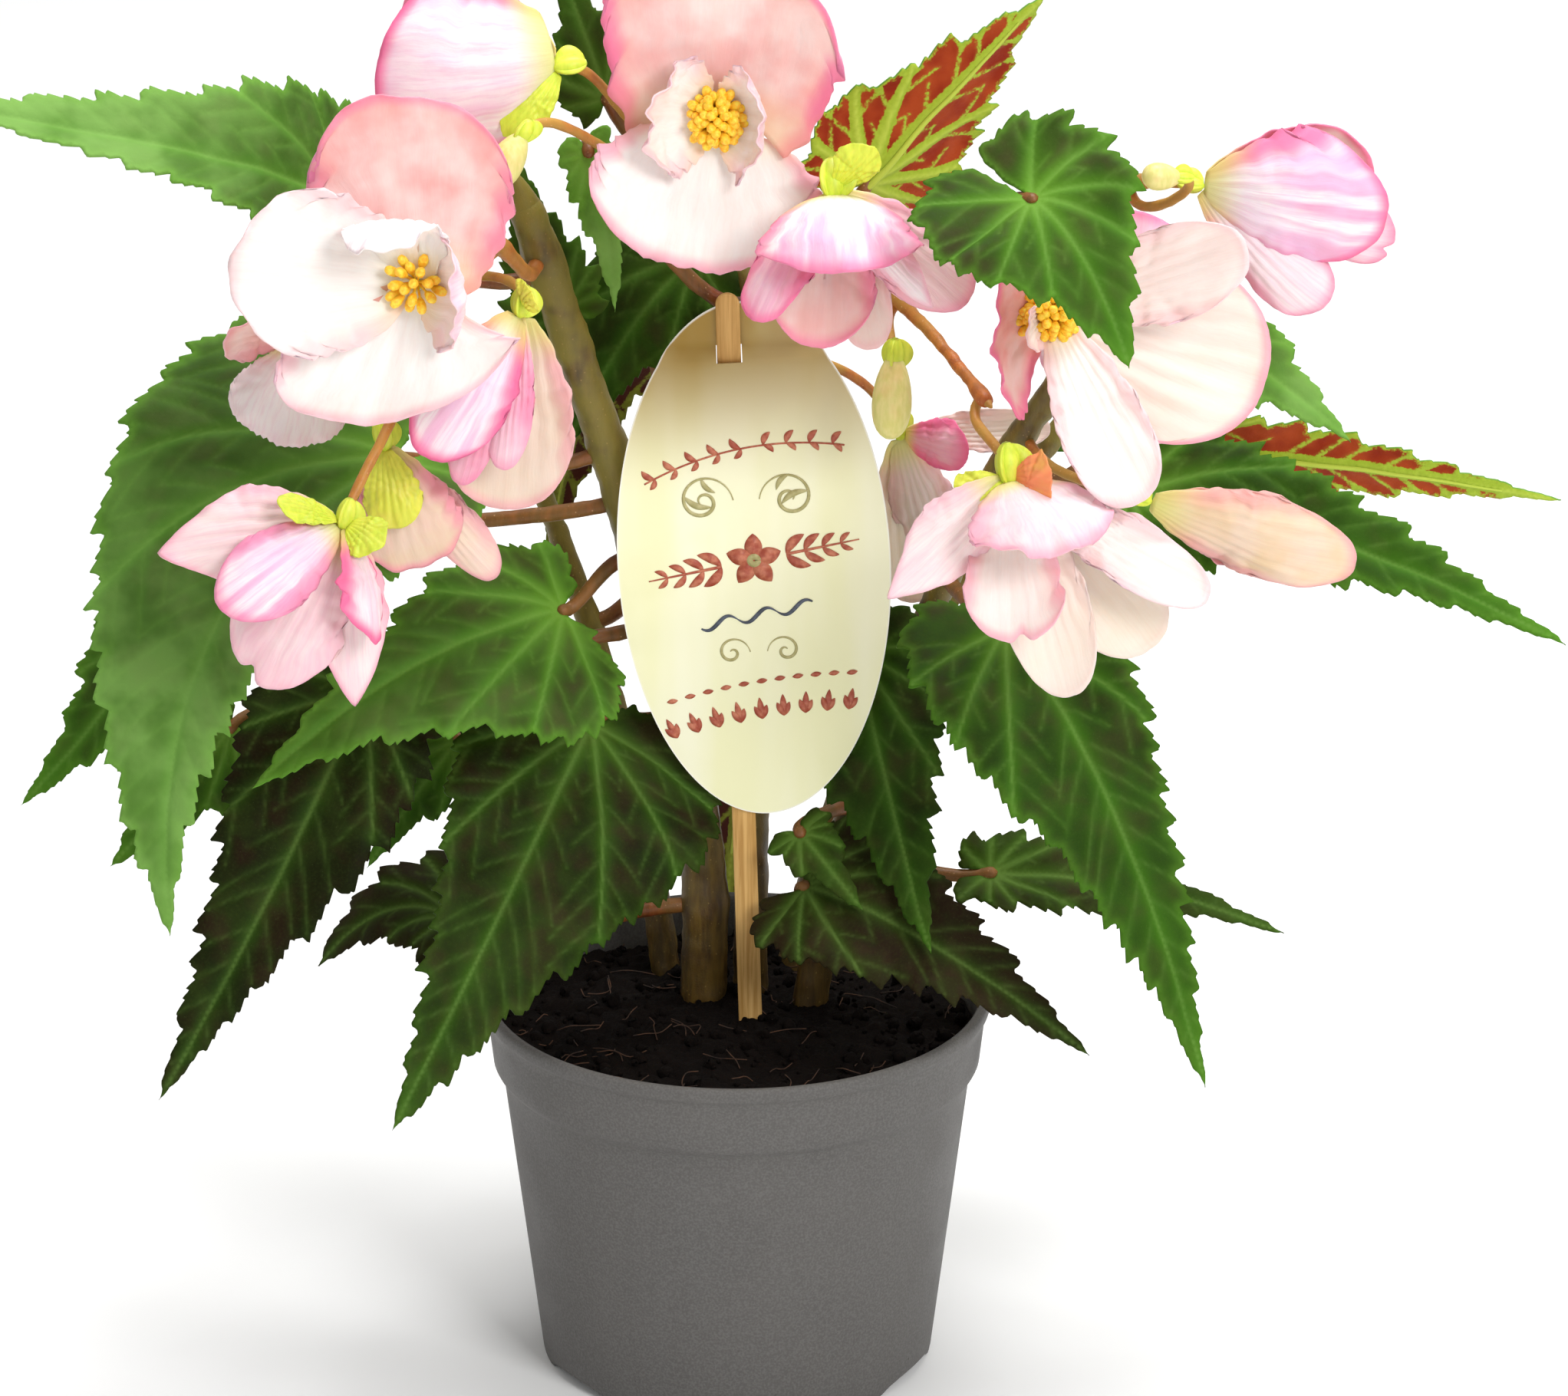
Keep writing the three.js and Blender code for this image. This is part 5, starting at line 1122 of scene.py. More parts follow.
def make_card():
    """The oval card with its slot, bent through the plane of the stick."""
    corners = [(0, 0), (0.5, 0), (1, 0), (1, 0.5), (1, 1), (0.5, 1), (0, 1), (0, 0.5)]
    slot = [(SLOT_LEFT + SLOT_WIDTH * u, SLOT_BOTTOM + SLOT_HEIGHT * v) for u, v in corners]
    half = np.array([CARD_WIDTH, CARD_HEIGHT]) / 2
    xs, zs = (np.arange(-reach, reach, CARD_GRID) for reach in half)
    inner = np.array([(x, z) for x in xs for z in zs])
    in_card = np.linalg.norm(inner / (half - CARD_GRID), axis=1) < 1
    inner = inner[in_card & ~near_slot(inner, CARD_GRID / 2)]
    flat, faces = triangulate([card_ellipse(0), slot], [*card_ellipse(CARD_RIM), *inner])
    faces = wound(flat, faces[~near_slot(flat[faces].mean(axis=1), 0)], False)
    rim = np.linalg.norm(flat / half, axis=1) > 0.999
    shape = Shape()
    shape.add_sheet(card_points(flat, 0), faces, CARD_THICKNESS, CARD, CARD, height=flat[:, 1] / half[1],
                    rim=rim.astype(float))
    sharpen(shape.make("label_card_oval", "label_card", "label_card"), 50)


def add_ribbon(shape, line, widths, material):
    """A printed stroke along a flat line, with a width at each of its points."""
    line = np.asarray(line, float)
    along = unit(np.gradient(line, axis=0))
    across = np.column_stack([-along[:, 1], along[:, 0]]) * (np.asarray(widths) / 2)[:, None]
    flat = np.vstack([line + across, line - across])
    count = len(line)
    k = np.arange(count - 1)
    faces = np.stack([k, k + count, k + count + 1, k + 1], axis=1)
    lift = PRINT_LIFT + PRINT_STEP * (len(shape.points) % PRINT_STEPS)
    surface = card_points(flat, -CARD_THICKNESS / 2 - lift)
    normals = point_normals(surface, faces)
    if normals[:, 1].mean() > 0:
        faces = faces[:, ::-1]
    shape.add_sheet(surface, faces, PRINT_THICKNESS, material, material)


def add_print_leaf(shape, foot, angle_deg, length, width, material, bow=0.15):
    """A printed leaf or petal: a pointed stroke, thickest in its middle, a little bowed."""
    t = np.linspace(0, 1, 14)
    angle = math.radians(angle_deg)
    ahead = np.array([math.cos(angle), math.sin(angle)])
    across = np.array([-ahead[1], ahead[0]])
    sideways = np.sin(t * np.pi) * length * bow
    line = np.asarray(foot) + ahead * (t * length)[:, None] + across * sideways[:, None]
    add_ribbon(shape, line, width * np.sin(np.pi * t)**0.8 + 0.05, material)


def add_print_scroll(shape, foot, size, facing, turns, material, width=0.5):
    """A printed scroll: a spiral that unrolls into a long tail."""
    t = np.linspace(0, 1, 60)
    angle = turns * 2 * np.pi * (1 - t)**1.1
    radius = size * (0.12 + 0.88 * t**1.3)
    line = np.column_stack([facing * (radius * np.cos(angle) - size), radius * np.sin(angle)]) + foot
    add_ribbon(shape, line, width * (0.4 + np.sin(np.pi * np.clip(t * 1.05, 0, 1))) + 0.05, material)


def add_garland(shape, middle, width, rise, tilt_deg, count, length, material):
    """A printed stem along an arch, with pairs of leaves on it that look outward from its middle."""
    tilt = math.radians(tilt_deg)
    t = np.linspace(-1, 1, 60)
    turn = np.array([[math.cos(tilt), math.sin(tilt)], [-math.sin(tilt), math.cos(tilt)]])
    line = np.column_stack([t * width / 2, rise * (1 - t**2)]) @ turn + middle
    add_ribbon(shape, line, np.full(60, 0.45), material)
    for k in range(count):
        share = (k + 0.5) / count * 2 - 1
        spot = np.array([share * width / 2, rise * (1 - share**2)]) @ turn + middle
        lean = math.degrees(tilt) + (55 if share > 0 else 125) - share * 12
        other = lean - (100 if share > 0 else -100)
        add_print_leaf(shape, spot, lean, length, length * 0.42, material)
        add_print_leaf(shape, spot, other, length * 0.8, length * 0.36, material)


def add_rosette(shape, middle, radius, petals, material, heart_material):
    """A printed flower of pointed petals round a small ring."""
    for k in range(petals):
        add_print_leaf(shape, middle, 360 / petals * k + 18, radius, radius * 0.62, material, 0)
    ring = circle(radius * 0.14, 24, middle)
    add_ribbon(shape, [*ring, ring[0]], np.full(25, radius * 0.22), heart_material)


# The ornament on the card, by places (x, z) from the card's middle and by sizes.
PRINT_X = -1
GARLAND_Z, GARLAND_WIDTH, GARLAND_RISE, GARLAND_TILT_DEG, GARLAND_PAIRS, GARLAND_LEAF = 24, 47, 4, 9, 9, 3.6
UPPER_SCROLL_Z, UPPER_SCROLL_SIZE, LOWER_SCROLL_Z, LOWER_SCROLL_SIZE = 15.5, 7, -22, 4.2
ROSETTE_Z, ROSETTE_RADIUS, ROSETTE_PETALS = 0.5, 6.6, 5
SPRAY_PAIRS, SPRAY_LEAF, SPRAY_SPACING, SPRAY_LENGTH = 4, 6.4, 4.2, 17
WAVE_Z, WAVE_HALF_WIDTH = -13, 13
DASHES, DASH_Z, TUFTS, TUFT_Z = 11, -29.5, 9, -40


def add_spray(shape, facing):
    """A printed stem beside the rosette with pairs of leaves that grow smaller outward."""
    foot = np.array([facing * 7.5, ROSETTE_Z + facing * 1.2])
    for k in range(SPRAY_PAIRS):
        spot = foot + np.array([facing * SPRAY_SPACING * k, facing * 0.7 * k])
        size = SPRAY_LEAF - k
        for side in (1, -1):
            angle = 99 - facing * 90 + facing * side * 38
            add_print_leaf(shape, spot, angle, size, size * 0.36, INK_RED, 0.12 * side * facing)
    stem = foot + np.outer(np.linspace(0, 1, 20), (facing * SPRAY_LENGTH, facing * 2.8))
    add_ribbon(shape, stem, np.linspace(0.8, 0.3, 20), INK_RED)


def make_print():
    """Generic ornament on the card, with no letters. Every later stroke lies a little further out."""
    shape = Shape()
    add_garland(shape, (PRINT_X, GARLAND_Z), GARLAND_WIDTH, GARLAND_RISE, GARLAND_TILT_DEG, GARLAND_PAIRS,
                GARLAND_LEAF, INK_RED)
    for facing in (-1, 1):
        add_print_scroll(shape, (facing * -3 + PRINT_X, UPPER_SCROLL_Z), UPPER_SCROLL_SIZE, facing, 1.6,
                         INK_OLIVE, 0.6)
        for x, z, turn, length, width in ((8, 14, 65, 7, 1.5), (7, 17.5, 40, 5, 1.2)):
            add_print_leaf(shape, (facing * x + PRINT_X, z), 90 - facing * turn, length, width, INK_OLIVE)
    add_rosette(shape, (0, ROSETTE_Z), ROSETTE_RADIUS, ROSETTE_PETALS, INK_RED, INK_OLIVE)
    for facing in (-1, 1):
        add_spray(shape, facing)
    wave = np.linspace(-1, 1, 60)
    line = np.column_stack([wave * WAVE_HALF_WIDTH, WAVE_Z + 2.2 * wave + 1.3 * np.sin(wave * 9)])
    add_ribbon(shape, line, 0.25 + 0.75 * np.abs(np.cos(wave * 4.5)), INK_SLATE)
    for facing in (-1, 1):
        add_print_scroll(shape, (facing * -2.0, LOWER_SCROLL_Z), LOWER_SCROLL_SIZE, facing, 1.4, INK_OLIVE)
    for share in np.linspace(-1, 1, DASHES):
        foot = (share * 21 + PRINT_X, DASH_Z + 2.6 * share - 1.5 * share**2)
        add_print_leaf(shape, foot, 8, 2.6, 1.2, INK_RED, 0)
    for share in np.linspace(-1, 1, TUFTS):
        foot = (share * 20, TUFT_Z + 2.6 * share + 1.2 * (1 - share**2))
        for lean in (-24, 0, 24):
            add_print_leaf(shape, foot, 96 - share * 20 + lean, 5.4 - abs(lean) / 14, 1.5, INK_RED, 0)
    shape.make("label_print", "label_card")


# ---------- stems and stalks ----------
def make_stem(name):
    """A branch, knotted where its shoots leave it and pointed at its end."""
    path, radii = branches[name]
    joints = [along for branch, along in shoot_sources() if branch == name]

    def radius(share):
        swell = sum(JOINT_SWELL * np.exp(-((share - joint) * path.length / JOINT_REACH)**2)
                    for joint in joints)
        return np.interp(share, (0, 1), radii) - STEM_EASE + swell

    skin, slot = (STEM, "stem") if name.startswith("stem") else (STALK, "flower_stalk")
    shape = Shape()
    add_tube(shape, path, radius, skin, STEM_SIDES, STEM_SPACING, STEM_LUMPS, len(name))
    height = shape.points[0][:, 2]
    shape.paint[0]["along"] = (height - height.min()) / np.ptp(height)
    add_egg(shape, path.at(1.0), path.tangent(1.0), radii[1] * 0.9, radii[1] * 5, skin, 10, STEM_SIDES,
            0.45, along=1)
    shape.make(name + "_flesh", slot, name)


def shoot_sources():
    """The place of each shoot, as a branch's name and a share of its length."""
    return [row[0] for table in (STALKS, LEAVES, FLOWERS, BUDS) for row in table.values()]


# ---------- leaves ----------
EDGE_SPACING = 0.45
TEETH = ((11.0, 3.0), (3.0, 1.1))  # width and depth of the large teeth, and of the small ones on them
TEETH_SPREAD = 0.35  # how much their widths differ
TOOTH_RISE, TOOTH_FALL = 0.8, 0.2  # the shares of a tooth's width

# The veins from the joint: the angle from the midrib in degrees, and their curl for each mm.
MAIN_VEINS = ((27, 0.006), (56, 0.008), (92, 0.008), (136, 0.004))
BRANCH_SPACING, BRANCH_DEGREES, BRANCH_CURL = 8.5, 42, 0.012
# The main veins and their branches: width, how strong they are and how strong their glow is.
VEIN_LOOKS = ((0.75, 1.0, 1.0), (0.45, 0.34, 0.42))


def edge_stations(lobe):
    """Places along the midrib and across the blade. Deep lobes close over the joint."""
    return [(-lobe, 0.33 - 0.45 * lobe), (-0.9 * lobe, 0.72), (0.1, 1), (0.32, 0.86), (0.5, 0.6),
            (0.68, 0.36), (0.85, 0.16), (1, 0)]


def toothed(line, rng):
    """A blade's edge from its joint to its tip, with forward teeth that carry smaller teeth."""
    path = Path(line)
    count = int(path.length / EDGE_SPACING)
    shares = np.linspace(0, 1, count + 1)
    points, along = path.at(shares), path.tangent(shares)
    outward = np.column_stack([along[:, 1], -along[:, 0]])
    place = shares * path.length
    offset = np.zeros(count + 1)
    for width, depth in TEETH:
        widths = width * (1 + TEETH_SPREAD * (2 * rng.random(int(path.length / width * 2) + 4) - 1))
        starts = np.concatenate([[0], np.cumsum(widths)])
        tooth = np.searchsorted(starts, place, side="right") - 1
        phase = (place - starts[tooth]) / widths[tooth]
        depths = depth * (0.7 + 0.6 * rng.random(len(starts)))[tooth]
        offset += depths * np.where(phase < TOOTH_RISE, (phase / TOOTH_RISE)**0.9, (1 - phase) / TOOTH_FALL)
    room = np.minimum(np.abs(points[:, 0]) / 9 + 0.12, 1)
    offset *= room * smoothstep(0, 8, place) * smoothstep(0, 3, path.length - place)
    side = np.sign(points[count // 2, 0] or 1)
    return points + outward * (offset - 0.9 * room)[:, None] * side + along * (0.35 * offset)[:, None]


def blade_outline(half, length, lobe, rng):
    """The blade's outline in its plane, right edge up to the tip and left edge back."""
    sides = []
    for sign, width in ((1, half[0]), (-1, half[1])):
        stations = [(0, 0.004)] + edge_stations(lobe)
        line = smooth_path([(sign * across * width, along * length) for along, across in stations], 20)
        sides.append(toothed(line.samples, rng))
    return np.vstack([sides[0][:-1], sides[1][::-1]])


def inside(points, outline):
    """Which points lie inside a closed outline."""
    x, y = points[:, :1], points[:, 1:]
    x0, y0 = outline.T
    x1, y1 = np.roll(outline, -1, axis=0).T
    crossing = (y0 > y) != (y1 > y)
    with np.errstate(divide="ignore", invalid="ignore"):
        at = x0 + (y - y0) * (x1 - x0) / (y1 - y0)
    return np.sum(crossing & (x < at), axis=1) % 2 == 1


def grow_vein(start, angle, curl, outline, limit):
    """A vein's points, 1 mm apart, until it leaves the outline. Its angle is from the tip's way."""
    points = [np.array(start, float)]
    for _ in range(int(limit)):
        angle *= 1 - curl
        points.append(points[-1] + np.array([math.sin(angle), math.cos(angle)]))
    points = np.array(points)
    gone = ~inside(points, outline)
    gone[0] = False
    return points[:np.argmax(gone)] if gone.any() else points


def leaf_veins(length, outline, rng):
    """The veins from the joint, and the veins that branch off those. Each is a list of lines."""
    main = [grow_vein((0, 0), 0.0, 0, outline, length)]
    for side in (1, -1):
        for degrees, curl in MAIN_VEINS:
            turn = math.radians(degrees + rng.uniform(-4, 4)) * side
            main.append(grow_vein((0, 0), turn, curl, outline, length))
    main = [line for line in main if len(line) > 4]
    return main, branch_veins(main, outline, length, rng)


def branch_veins(parents, outline, limit, rng):
    """Veins that leave their parents to the left and the right in turn."""
    lines = []
    for parent in parents:
        others = np.vstack([other for other in parents if other is not parent])
        place = BRANCH_SPACING * rng.uniform(0.7, 1.2)
        side = 1 if rng.random() < 0.5 else -1
        while place < len(parent) - 4:
            k = int(place)
            heading = parent[k + 1] - parent[k - 1] if k else parent[1] - parent[0]
            turn = math.radians(BRANCH_DEGREES + rng.uniform(-6, 6))
            angle = math.atan2(heading[0], heading[1]) + side * turn
            line = grow_vein(parent[k], angle, BRANCH_CURL, outline, limit * rng.uniform(0.7, 1.0))
            line = until_met(line, parent, others)
            if len(line) > 2:
                lines.append(line)
            place += BRANCH_SPACING * rng.uniform(0.35, 0.65)
            side = -side
    return lines


def until_met(line, parent, others):
    """A vein that ends where it comes nearer to another vein than to its own parent."""
    own, other = (np.linalg.norm(line[:, None] - points[None], axis=2).min(axis=1)
                  for points in (parent, others))
    met = other < own
    return line[:np.argmax(met) + 1] if met.any() else line


def nearest(lines, points):
    """The distance from each point to the nearest line, and how far along that line it is met."""
    dense = [(line[:-1] * (1 - t) + line[1:] * t, (np.arange(len(line) - 1) + t) / len(line))
             for line in lines if len(line) > 1 for t in (0, 0.5)]
    if not dense:
        return np.full(len(points), 99.0), np.zeros(len(points))
    samples = np.vstack([row for row, _ in dense])
    shares = np.concatenate([share for _, share in dense])
    tree = KDTree(len(samples))
    for k, (x, y) in enumerate(samples):
        tree.insert((x, y, 0), k)
    tree.balance()
    found = [tree.find((x, y, 0)) for x, y in points]
    return np.array([hit[2] for hit in found]), shares[[hit[1] for hit in found]]


class Blade:
    """A leaf's blade: its midrib in space and the map from its plane to its place."""

    def __init__(self, rib, face, half, fold, seed):
        base, middle, tip = (np.array(point, float) for point in rib)
        self.start, self.end = base, tip
        self.control = 2 * middle - (base + tip) / 2
        self.face = np.array(face, float)
        self.half, self.fold = half, math.radians(fold)
        t = np.linspace(0, 1, 65)[:, None]
        line = self.line(t)
        self.length = np.sum(np.linalg.norm(np.diff(line, axis=0), axis=1))
        self.seed = seed

    def line(self, u):
        """The midrib's points at shares of its length."""
        return self.start * (1 - u)**2 + 2 * self.control * u * (1 - u) + self.end * u**2

    def axes(self, u):
        """The ways along the midrib, up from the blade and across it."""
        tangent = unit(2 * (1 - u) * (self.control - self.start) + 2 * u * (self.end - self.control))
        up = square_to(self.face, tangent)
        return tangent, up, np.cross(tangent, up)

    def place(self, flat, lift):
        """Points of the blade's plane in their place, each lifted off it along its upper side."""
        across, along = flat[:, :1], flat[:, 1:] / self.length
        u = np.clip(along, 0, 1)
        tangent, up, side = self.axes(u)
        crease = np.sqrt(across**2 + 4) - 2
        room = np.where(across > 0, self.half[0], self.half[1])
        spread = np.abs(across) / room
        droop = -0.1 * room * spread**3 * np.sin(np.pi * np.clip(along, 0, 1))
        phase = self.seed * 1.7 + np.sign(across) * 0.9
        wave = 0.055 * room * np.sin(along * 15 + phase) * smoothstep(0.3, 1.0, spread)
        height = crease * math.sin(self.fold) + droop + wave + lift[:, None]
        return (self.line(u) + tangent * (along - u) * self.length + side * across * math.cos(self.fold)
                + up * height)


def lattice(low, high, spacing, rng):
    """Points of a triangular grid over a box, each a little off its place."""
    across = np.arange(low[0], high[0], spacing)
    rows = [np.column_stack([across + (k % 2) * spacing / 2, np.full(len(across), along)])
            for k, along in enumerate(np.arange(low[1], high[1], spacing * 0.866))]
    points = np.vstack(rows)
    return points + rng.uniform(-0.12, 0.12, points.shape) * spacing


def blade_mesh(outline, rng):
    """Flat points and triangles that fill a blade's outline, and each point's distance from its rim."""
    rim = [np.vstack([outline, outline[:1]])]
    inner = lattice(outline.min(axis=0), outline.max(axis=0), LEAF_GRID, rng)
    inner = inner[inside(inner, outline)]
    from_rim, _ = nearest(rim, inner)
    flat, faces = triangulate([outline], inner[from_rim > LEAF_GRID * 0.5], 1e-4)
    from_rim, _ = nearest(rim, flat)
    return flat, wound(flat, faces), from_rim


def vein_paint(veins, flat):
    """How strong the veins, the glow along them and their wide halo are at each point."""
    core, glow, halo = np.zeros((3, len(flat)))
    for lines, (width, strength, spread) in zip(veins, VEIN_LOOKS):
        gap, share = nearest(lines, flat)
        wide = width * (1 - 0.55 * share)
        core = np.maximum(core, strength * np.exp(-(gap / wide)**2))
        glow = np.maximum(glow, spread * np.exp(-(gap / (3.0 * wide))**2))
        halo = np.maximum(halo, spread**2 * np.exp(-(gap / (5.5 * wide))**2))
    return core, glow, halo


def lumps(flat, number):
    """How far a blade's soft lumps lift its points."""
    return 0.9 * noise_at(np.column_stack([flat / 14, np.full(len(flat), number)]))


def make_leaf(name, number):
    """A leaf: its blade, the midrib under it and its petiole."""
    source, rib, face, half, fold, lobe, (bronze, fresh) = LEAVES[name]
    rng = np.random.default_rng(100 + number)
    blade = Blade(rib, face, half, fold, number)
    outline = blade_outline(half, blade.length, lobe, rng)
    veins = leaf_veins(blade.length, outline, rng)
    flat, faces, from_rim = blade_mesh(outline, rng)
    core, glow, halo = vein_paint(veins, flat)
    lift = 0.6 * (1 - glow) * smoothstep(0, 3, from_rim) - 0.2 * core + lumps(flat, number)
    shape = Shape()
    shape.add_sheet(
        blade.place(flat, lift), faces, LEAF_THICKNESS, LEAF_UPPER, LEAF_UNDER,
        vein=core, glow=glow, halo=halo, rim=np.exp(-(from_rim / 1.6)**2), bronze=bronze, fresh=fresh,
        tip=np.clip(flat[:, 1] / blade.length, 0, 1)**1.5,
        joint=np.exp(-np.linalg.norm(flat, axis=1) / 11) * (0.25 + 0.75 * glow),
        flat=np.column_stack([flat * MM, np.full(len(flat), number * 0.1)]))
    tangent, up, _ = blade.axes(np.zeros((1, 1)))
    base = blade.place(np.zeros((1, 2)), np.zeros(1))[0]
    petiole = shoot_path(source, base, unit(tangent[0] + 0.5 * up[0]))
    add_tube(shape, petiole, tapered(PETIOLE_RADIUS, 1.05, 0.85), PETIOLE, 10, 1.6, 0.2, number, along=0.5)
    add_rib(shape, blade, number, fresh)
    shape.make(name + "_blade", "leaf", name)


def add_rib(shape, blade, number, fresh):
    """The midrib, which stands out under the blade and thins towards the tip."""
    share = np.linspace(0, 0.86, 30)
    flat = np.column_stack([np.zeros(30), share * blade.length])
    line = blade.place(flat, lumps(flat, number) - 1.05 * (1 - 0.75 * share) - 0.1)
    add_tube(shape, Path(line), lambda s: 0.75 * (1 - 0.75 * s) + 0.08, LEAF_UNDER, 8, 2.0,
             vein=1, glow=1, fresh=fresh)


# ---------- flowers ----------
PETAL_SKINS = {"petal": (PETAL_IN, PETAL_OUT), "lime": (LIME, LIME)}
PETAL_TINTS = ("blush", "hot", "lilac", "warm")
LONG_WAVES, SHORT_WAVES = 6, 15  # in the ruffle once round the petal
TEETH_ROUND, PLEATS_ACROSS = 24, 22
GOLDEN_TURN = 2.39996  # the angle from each stamen to the next


def petal_grid(width, style, number):
    """A petal's grid: shares from root to end, shares from side to side, how far out each line along
    the petal ends, and its half width."""
    v = np.linspace(-1, 1, PETAL_COLUMNS)
    v = (np.sign(v) * (1 - (1 - np.abs(v))**1.3))[None, :]
    u = np.linspace(0, 1, PETAL_ROWS)[:, None]
    round_end = np.sqrt(np.clip(1 - np.abs(v)**2.3, 0, 1))
    sharp_end = 1 - np.abs(v)**1.25
    point, belly, foot = style["point"], style["belly"], style["root"]
    extent = belly + (1 - belly) * (round_end * (1 - point) + sharp_end * point)
    half = width / 2 * (foot + (1 - foot) * np.sin(np.pi / 2 * u)**style["shoulder"])
    left, right = (noise_at([(k * 0.2, side * 3.0, number * 3.1) for k in range(PETAL_ROWS)])[:, None]
                   for side in (-1, 1))
    return u, v, extent, half * (1 + 0.12 * np.where(v < 0, left, right))


def add_petal(shape, heart, row, number, base):
    """A petal from a flower's heart to its tip. base is how strong the tint at its root is."""
    tip, face, width, bow, cup, style = row
    rng = np.random.default_rng(1000 + number)
    root = unit(tip) * PETAL_ROOT_RADIUS
    control = (root + tip) / 2 - square_to(face, unit(tip)) * 2 * bow
    length = np.linalg.norm(tip - root)
    u, v, extent, half = petal_grid(width, style, number)
    along, reach = u * extent, half * v
    t = along[:, :, None]
    spine = heart + root * (1 - t)**2 + 2 * control * t * (1 - t) + tip * t**2
    ahead = unit((control - root) * (1 - t) + (tip - control) * t)
    inward = square_to(face, ahead)
    across = np.cross(inward, ahead)

    gap = np.minimum((1 - np.abs(v)) * half, (1 - u) * extent * length)
    margin = np.exp(-gap / 3.0) * smoothstep(0.1, 0.5, along)
    around = np.arctan2(reach, (along - 0.45) * length)
    phase = rng.uniform(0, 2 * np.pi, 3)
    calm = min(1, width / 22)
    waves = np.sin(around * LONG_WAVES + phase[0]) + 0.5 * np.sin(around * SHORT_WAVES + phase[1])
    ruffle = style["ruffle"] * calm * margin * waves
    hollow = cup * reach**2 / (width / 2) * 1.2
    pleats = style["pleats"] * np.sin(v * PLEATS_ACROSS + 0.8 * np.sin(u * 5)) * np.sin(np.pi * u)
    teeth = style["teeth"] * np.exp(-gap / 1.2) * np.abs(np.sin(around * TEETH_ROUND + phase[2]))
    notch = style["notch"] * np.exp(-((v - 0.15) / 0.13)**2) * smoothstep(0.65, 1, u)
    ears = style["ears"] * v**2 * (1 - smoothstep(0, 0.45, along))
    edgeways = style["skew"] * reach * smoothstep(0, 0.6, along) + teeth - notch - ears
    grid = spine + across * reach[:, :, None] + ahead * edgeways[:, :, None]
    folds = noise_at(grid.reshape(-1, 3) * 0.055, (number, 0, 0)).reshape(reach.shape)
    lift = hollow + ruffle + pleats + 1.8 * calm**2 * folds * smoothstep(0, 0.4, along)
    points = (grid + inward * lift[:, :, None]).reshape(-1, 3)

    spread = np.ones_like(reach)
    grain = np.stack([v * 0.016 * spread, along * 0.0035, number * 0.01 * spread], axis=-1)
    shape.add_sheet(points, grid_faces(*reach.shape), PETAL_THICKNESS, *PETAL_SKINS[style["skin"]],
                    along=along.ravel(), edge=np.clip(gap / 10, 0, 1).ravel(), grain=grain.reshape(-1, 3),
                    base=base, **{tint: style[tint] for tint in PETAL_TINTS})


def add_stamens(shape, heart, axis, count, rng):
    """A dense dome of short stamens, each a filament with a club-shaped head."""
    side, other = cross_axes(axis, (0.2, 0.3, 0.9))
    foot = heart + axis
    for k in range(count):
        share = math.sqrt((k + 0.5) / count)
        turn = k * GOLDEN_TURN
        lean = share * 1.2
        way = unit(axis * math.cos(lean) + (side * math.cos(turn) + other * math.sin(turn)) * math.sin(lean)
                   + rng.normal(scale=0.07, size=3))
        head = foot + way * rng.uniform(4.8, 6.6)
        add_tube(shape, Path([foot, head]), even(STAMEN_RADIUS), STAMEN, 5, 3)
        add_egg(shape, head, way, ANTHER_RADIUS, ANTHER_LENGTH, STAMEN, 6, 8, -0.25)


def add_ovary(shape, heart, axis, radius, wings, rng):
    """The ovary behind the petals, with a number of wings."""
    centre = heart - axis * radius * 0.6
    add_egg(shape, centre, axis, radius * 0.7, radius * 2.6, LIME, 10, 14)
    side, other = cross_axes(axis, (0.5, 0.3, 0.8))
    t = np.linspace(0, 1, 16)
    for k in range(wings):
        turn = k * 2 * np.pi / 3 + rng.uniform(-0.2, 0.2)
        way = side * math.cos(turn) + other * math.sin(turn)
        size = radius * (1.5 if k == 0 else 1.1)
        rise = (size * np.sin(np.pi * t)**0.5)[:, None]
        outer = centre + axis * ((t - 0.5) * radius * 2.5)[:, None] + way * rise
        inner = centre + axis * ((t - 0.5) * radius * 2.1)[:, None] + way * 0.1
        shape.add_sheet(np.vstack([inner, (outer + inner) / 2, outer]), grid_faces(3, 16), 0.5, LIME, LIME)


def add_pedicel(shape, source, heart, axis, number):
    """The short stalk that bears a flower or a bud."""
    pedicel = shoot_path(source, heart, axis)
    add_tube(shape, pedicel, tapered(PEDICEL_RADIUS, 1.1, 1), STALK, 10, 1.5, 0.15, number, along=0.9)


def make_flower(name, number):
    """A flower on its pedicel. One with stamens has a plain ovary, and any other a winged one."""
    source, heart, facing, ovary, stamens, petals = FLOWERS[name]
    rng = np.random.default_rng(500 + number)
    heart, axis = np.array(heart, float), unit(facing)
    shape = Shape()
    for k, row in enumerate(petals):
        add_petal(shape, heart, row, number * 10 + k, 0.3 if stamens else 0.9)
    add_ovary(shape, heart, axis, ovary, 0 if stamens else 3, rng)
    if stamens:
        add_stamens(shape, heart, axis, stamens, rng)
    add_pedicel(shape, source, heart, axis, number)
    shape.make(name + "_bloom", "petal", name)


def make_bud(name, number):
    """A closed bud with its winged ovary, on its pedicel."""
    source, heart, facing, radius, length = BUDS[name]
    rng = np.random.default_rng(900 + number)
    heart, axis = np.array(heart, float), unit(facing)
    shape = Shape()
    add_egg(shape, heart + axis * 0.4 * length, axis, radius * 0.9, length, BUD_CREAM, 14, 20, -0.2)
    add_ovary(shape, heart, axis, radius * 0.6, 3, rng)
    add_pedicel(shape, source, heart, axis, number)
    shape.make(name + "_closed", "bud", name)


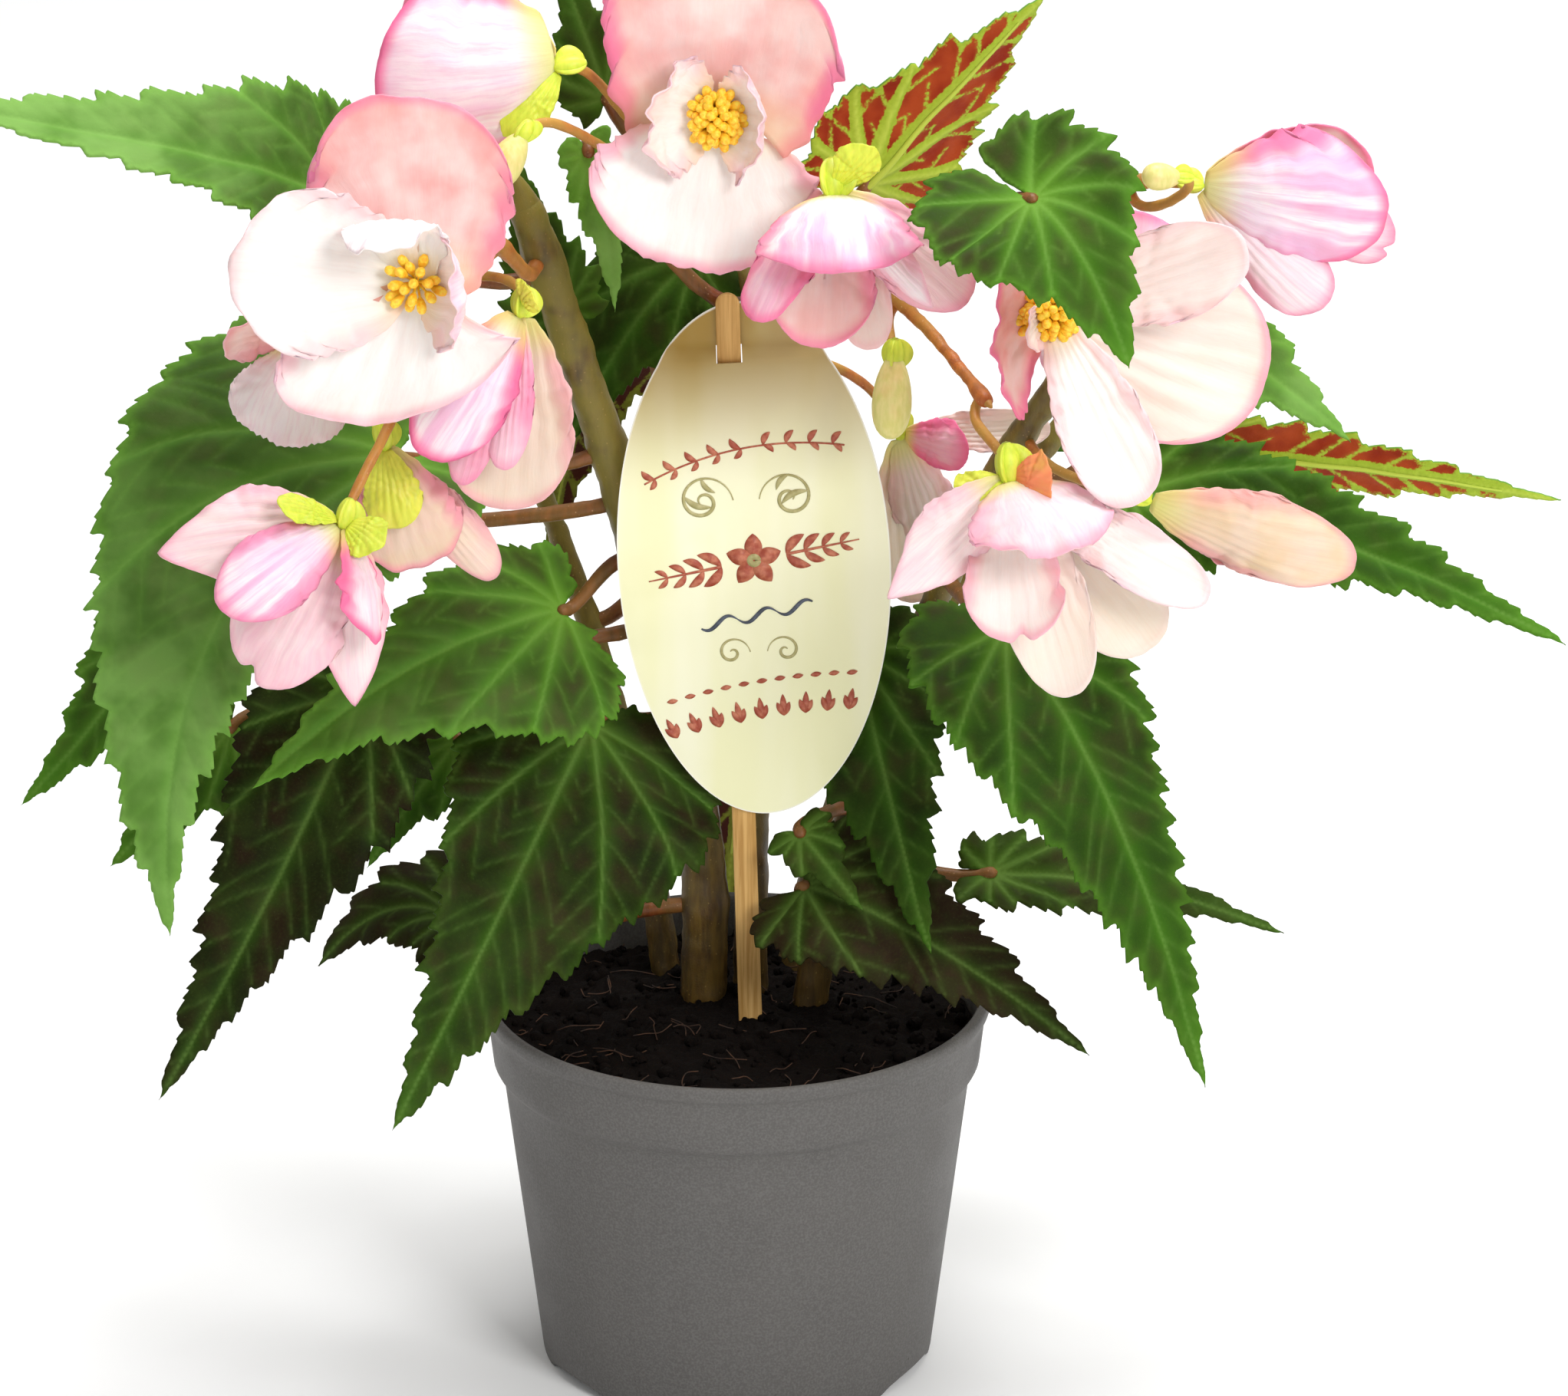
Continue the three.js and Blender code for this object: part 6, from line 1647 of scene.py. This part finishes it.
# ---------- stage ----------
def look_at(thing, target):
    """Turns a camera or a light towards a target."""
    thing.rotation_euler = (Vector(target) - thing.location).to_track_quat("-Z", "Y").to_euler()


def make_camera():
    """The camera that was fitted to the ellipses of the pot's rim and base."""
    camera = bpy.data.objects.new("camera", bpy.data.cameras.new("camera"))
    bpy.context.scene.collection.objects.link(camera)
    camera.data.sensor_width = CAMERA_SENSOR
    camera.data.lens = CAMERA_SENSOR * FOCAL_PIXELS / PHOTO_WIDTH
    camera.data.clip_end = CAMERA_FAR
    target = Vector(CAMERA_TARGET) * MM
    elevation = math.radians(CAMERA_ELEVATION_DEG)
    way = Vector((0, -math.cos(elevation), math.sin(elevation)))
    camera.location = target + way * CAMERA_DISTANCE * MM
    look_at(camera, target)
    bpy.context.scene.camera = camera


def add_softbox(name, place, size, power):
    """A square light that looks at the plant."""
    light = bpy.data.objects.new(name, bpy.data.lights.new(name, "AREA"))
    bpy.context.scene.collection.objects.link(light)
    light.data.size = size
    light.data.energy = power
    light.location = place
    look_at(light, LIGHT_TARGET)


def make_stage():
    """The white floor, the white surroundings and the softboxes."""
    bpy.ops.mesh.primitive_plane_add(size=FLOOR_SIZE)
    floor = bpy.context.object
    floor.name = "floor"
    floor.data.materials.append(floor_paint())
    world = bpy.data.worlds.new("studio")
    bpy.context.scene.world = world
    world.use_nodes = True
    sky = world.node_tree.nodes["Background"].inputs
    sky["Color"].default_value = (1, 1, 1, 1)
    sky["Strength"].default_value = SKY_STRENGTH
    for name, softbox in SOFTBOXES.items():
        add_softbox(name, *softbox)
    bpy.context.scene.view_settings.view_transform = "Standard"


# ---------- assembly ----------
make_camera()
make_stage()
for name, (points, radii) in STEMS.items():
    branches[name] = (smooth_path(points), radii)
for name, (source, points, radii) in STALKS.items():
    middle, outward, radius = bud_point(source, np.array(points[0], float))
    start = middle + outward * radius
    branches[name] = (smooth_path([middle, start, start + outward * 4, *points]), radii)

make_pot()
make_soil()
make_crumbs()
make_stick()
make_card()
make_print()
for name in (*STEMS, *STALKS):
    make_stem(name)
for number, name in enumerate(LEAVES, 1):
    make_leaf(name, number)
for number, name in enumerate(FLOWERS, 1):
    make_flower(name, number)
for number, name in enumerate(BUDS, 1):
    make_bud(name, number)

bpy.context.view_layer.update()
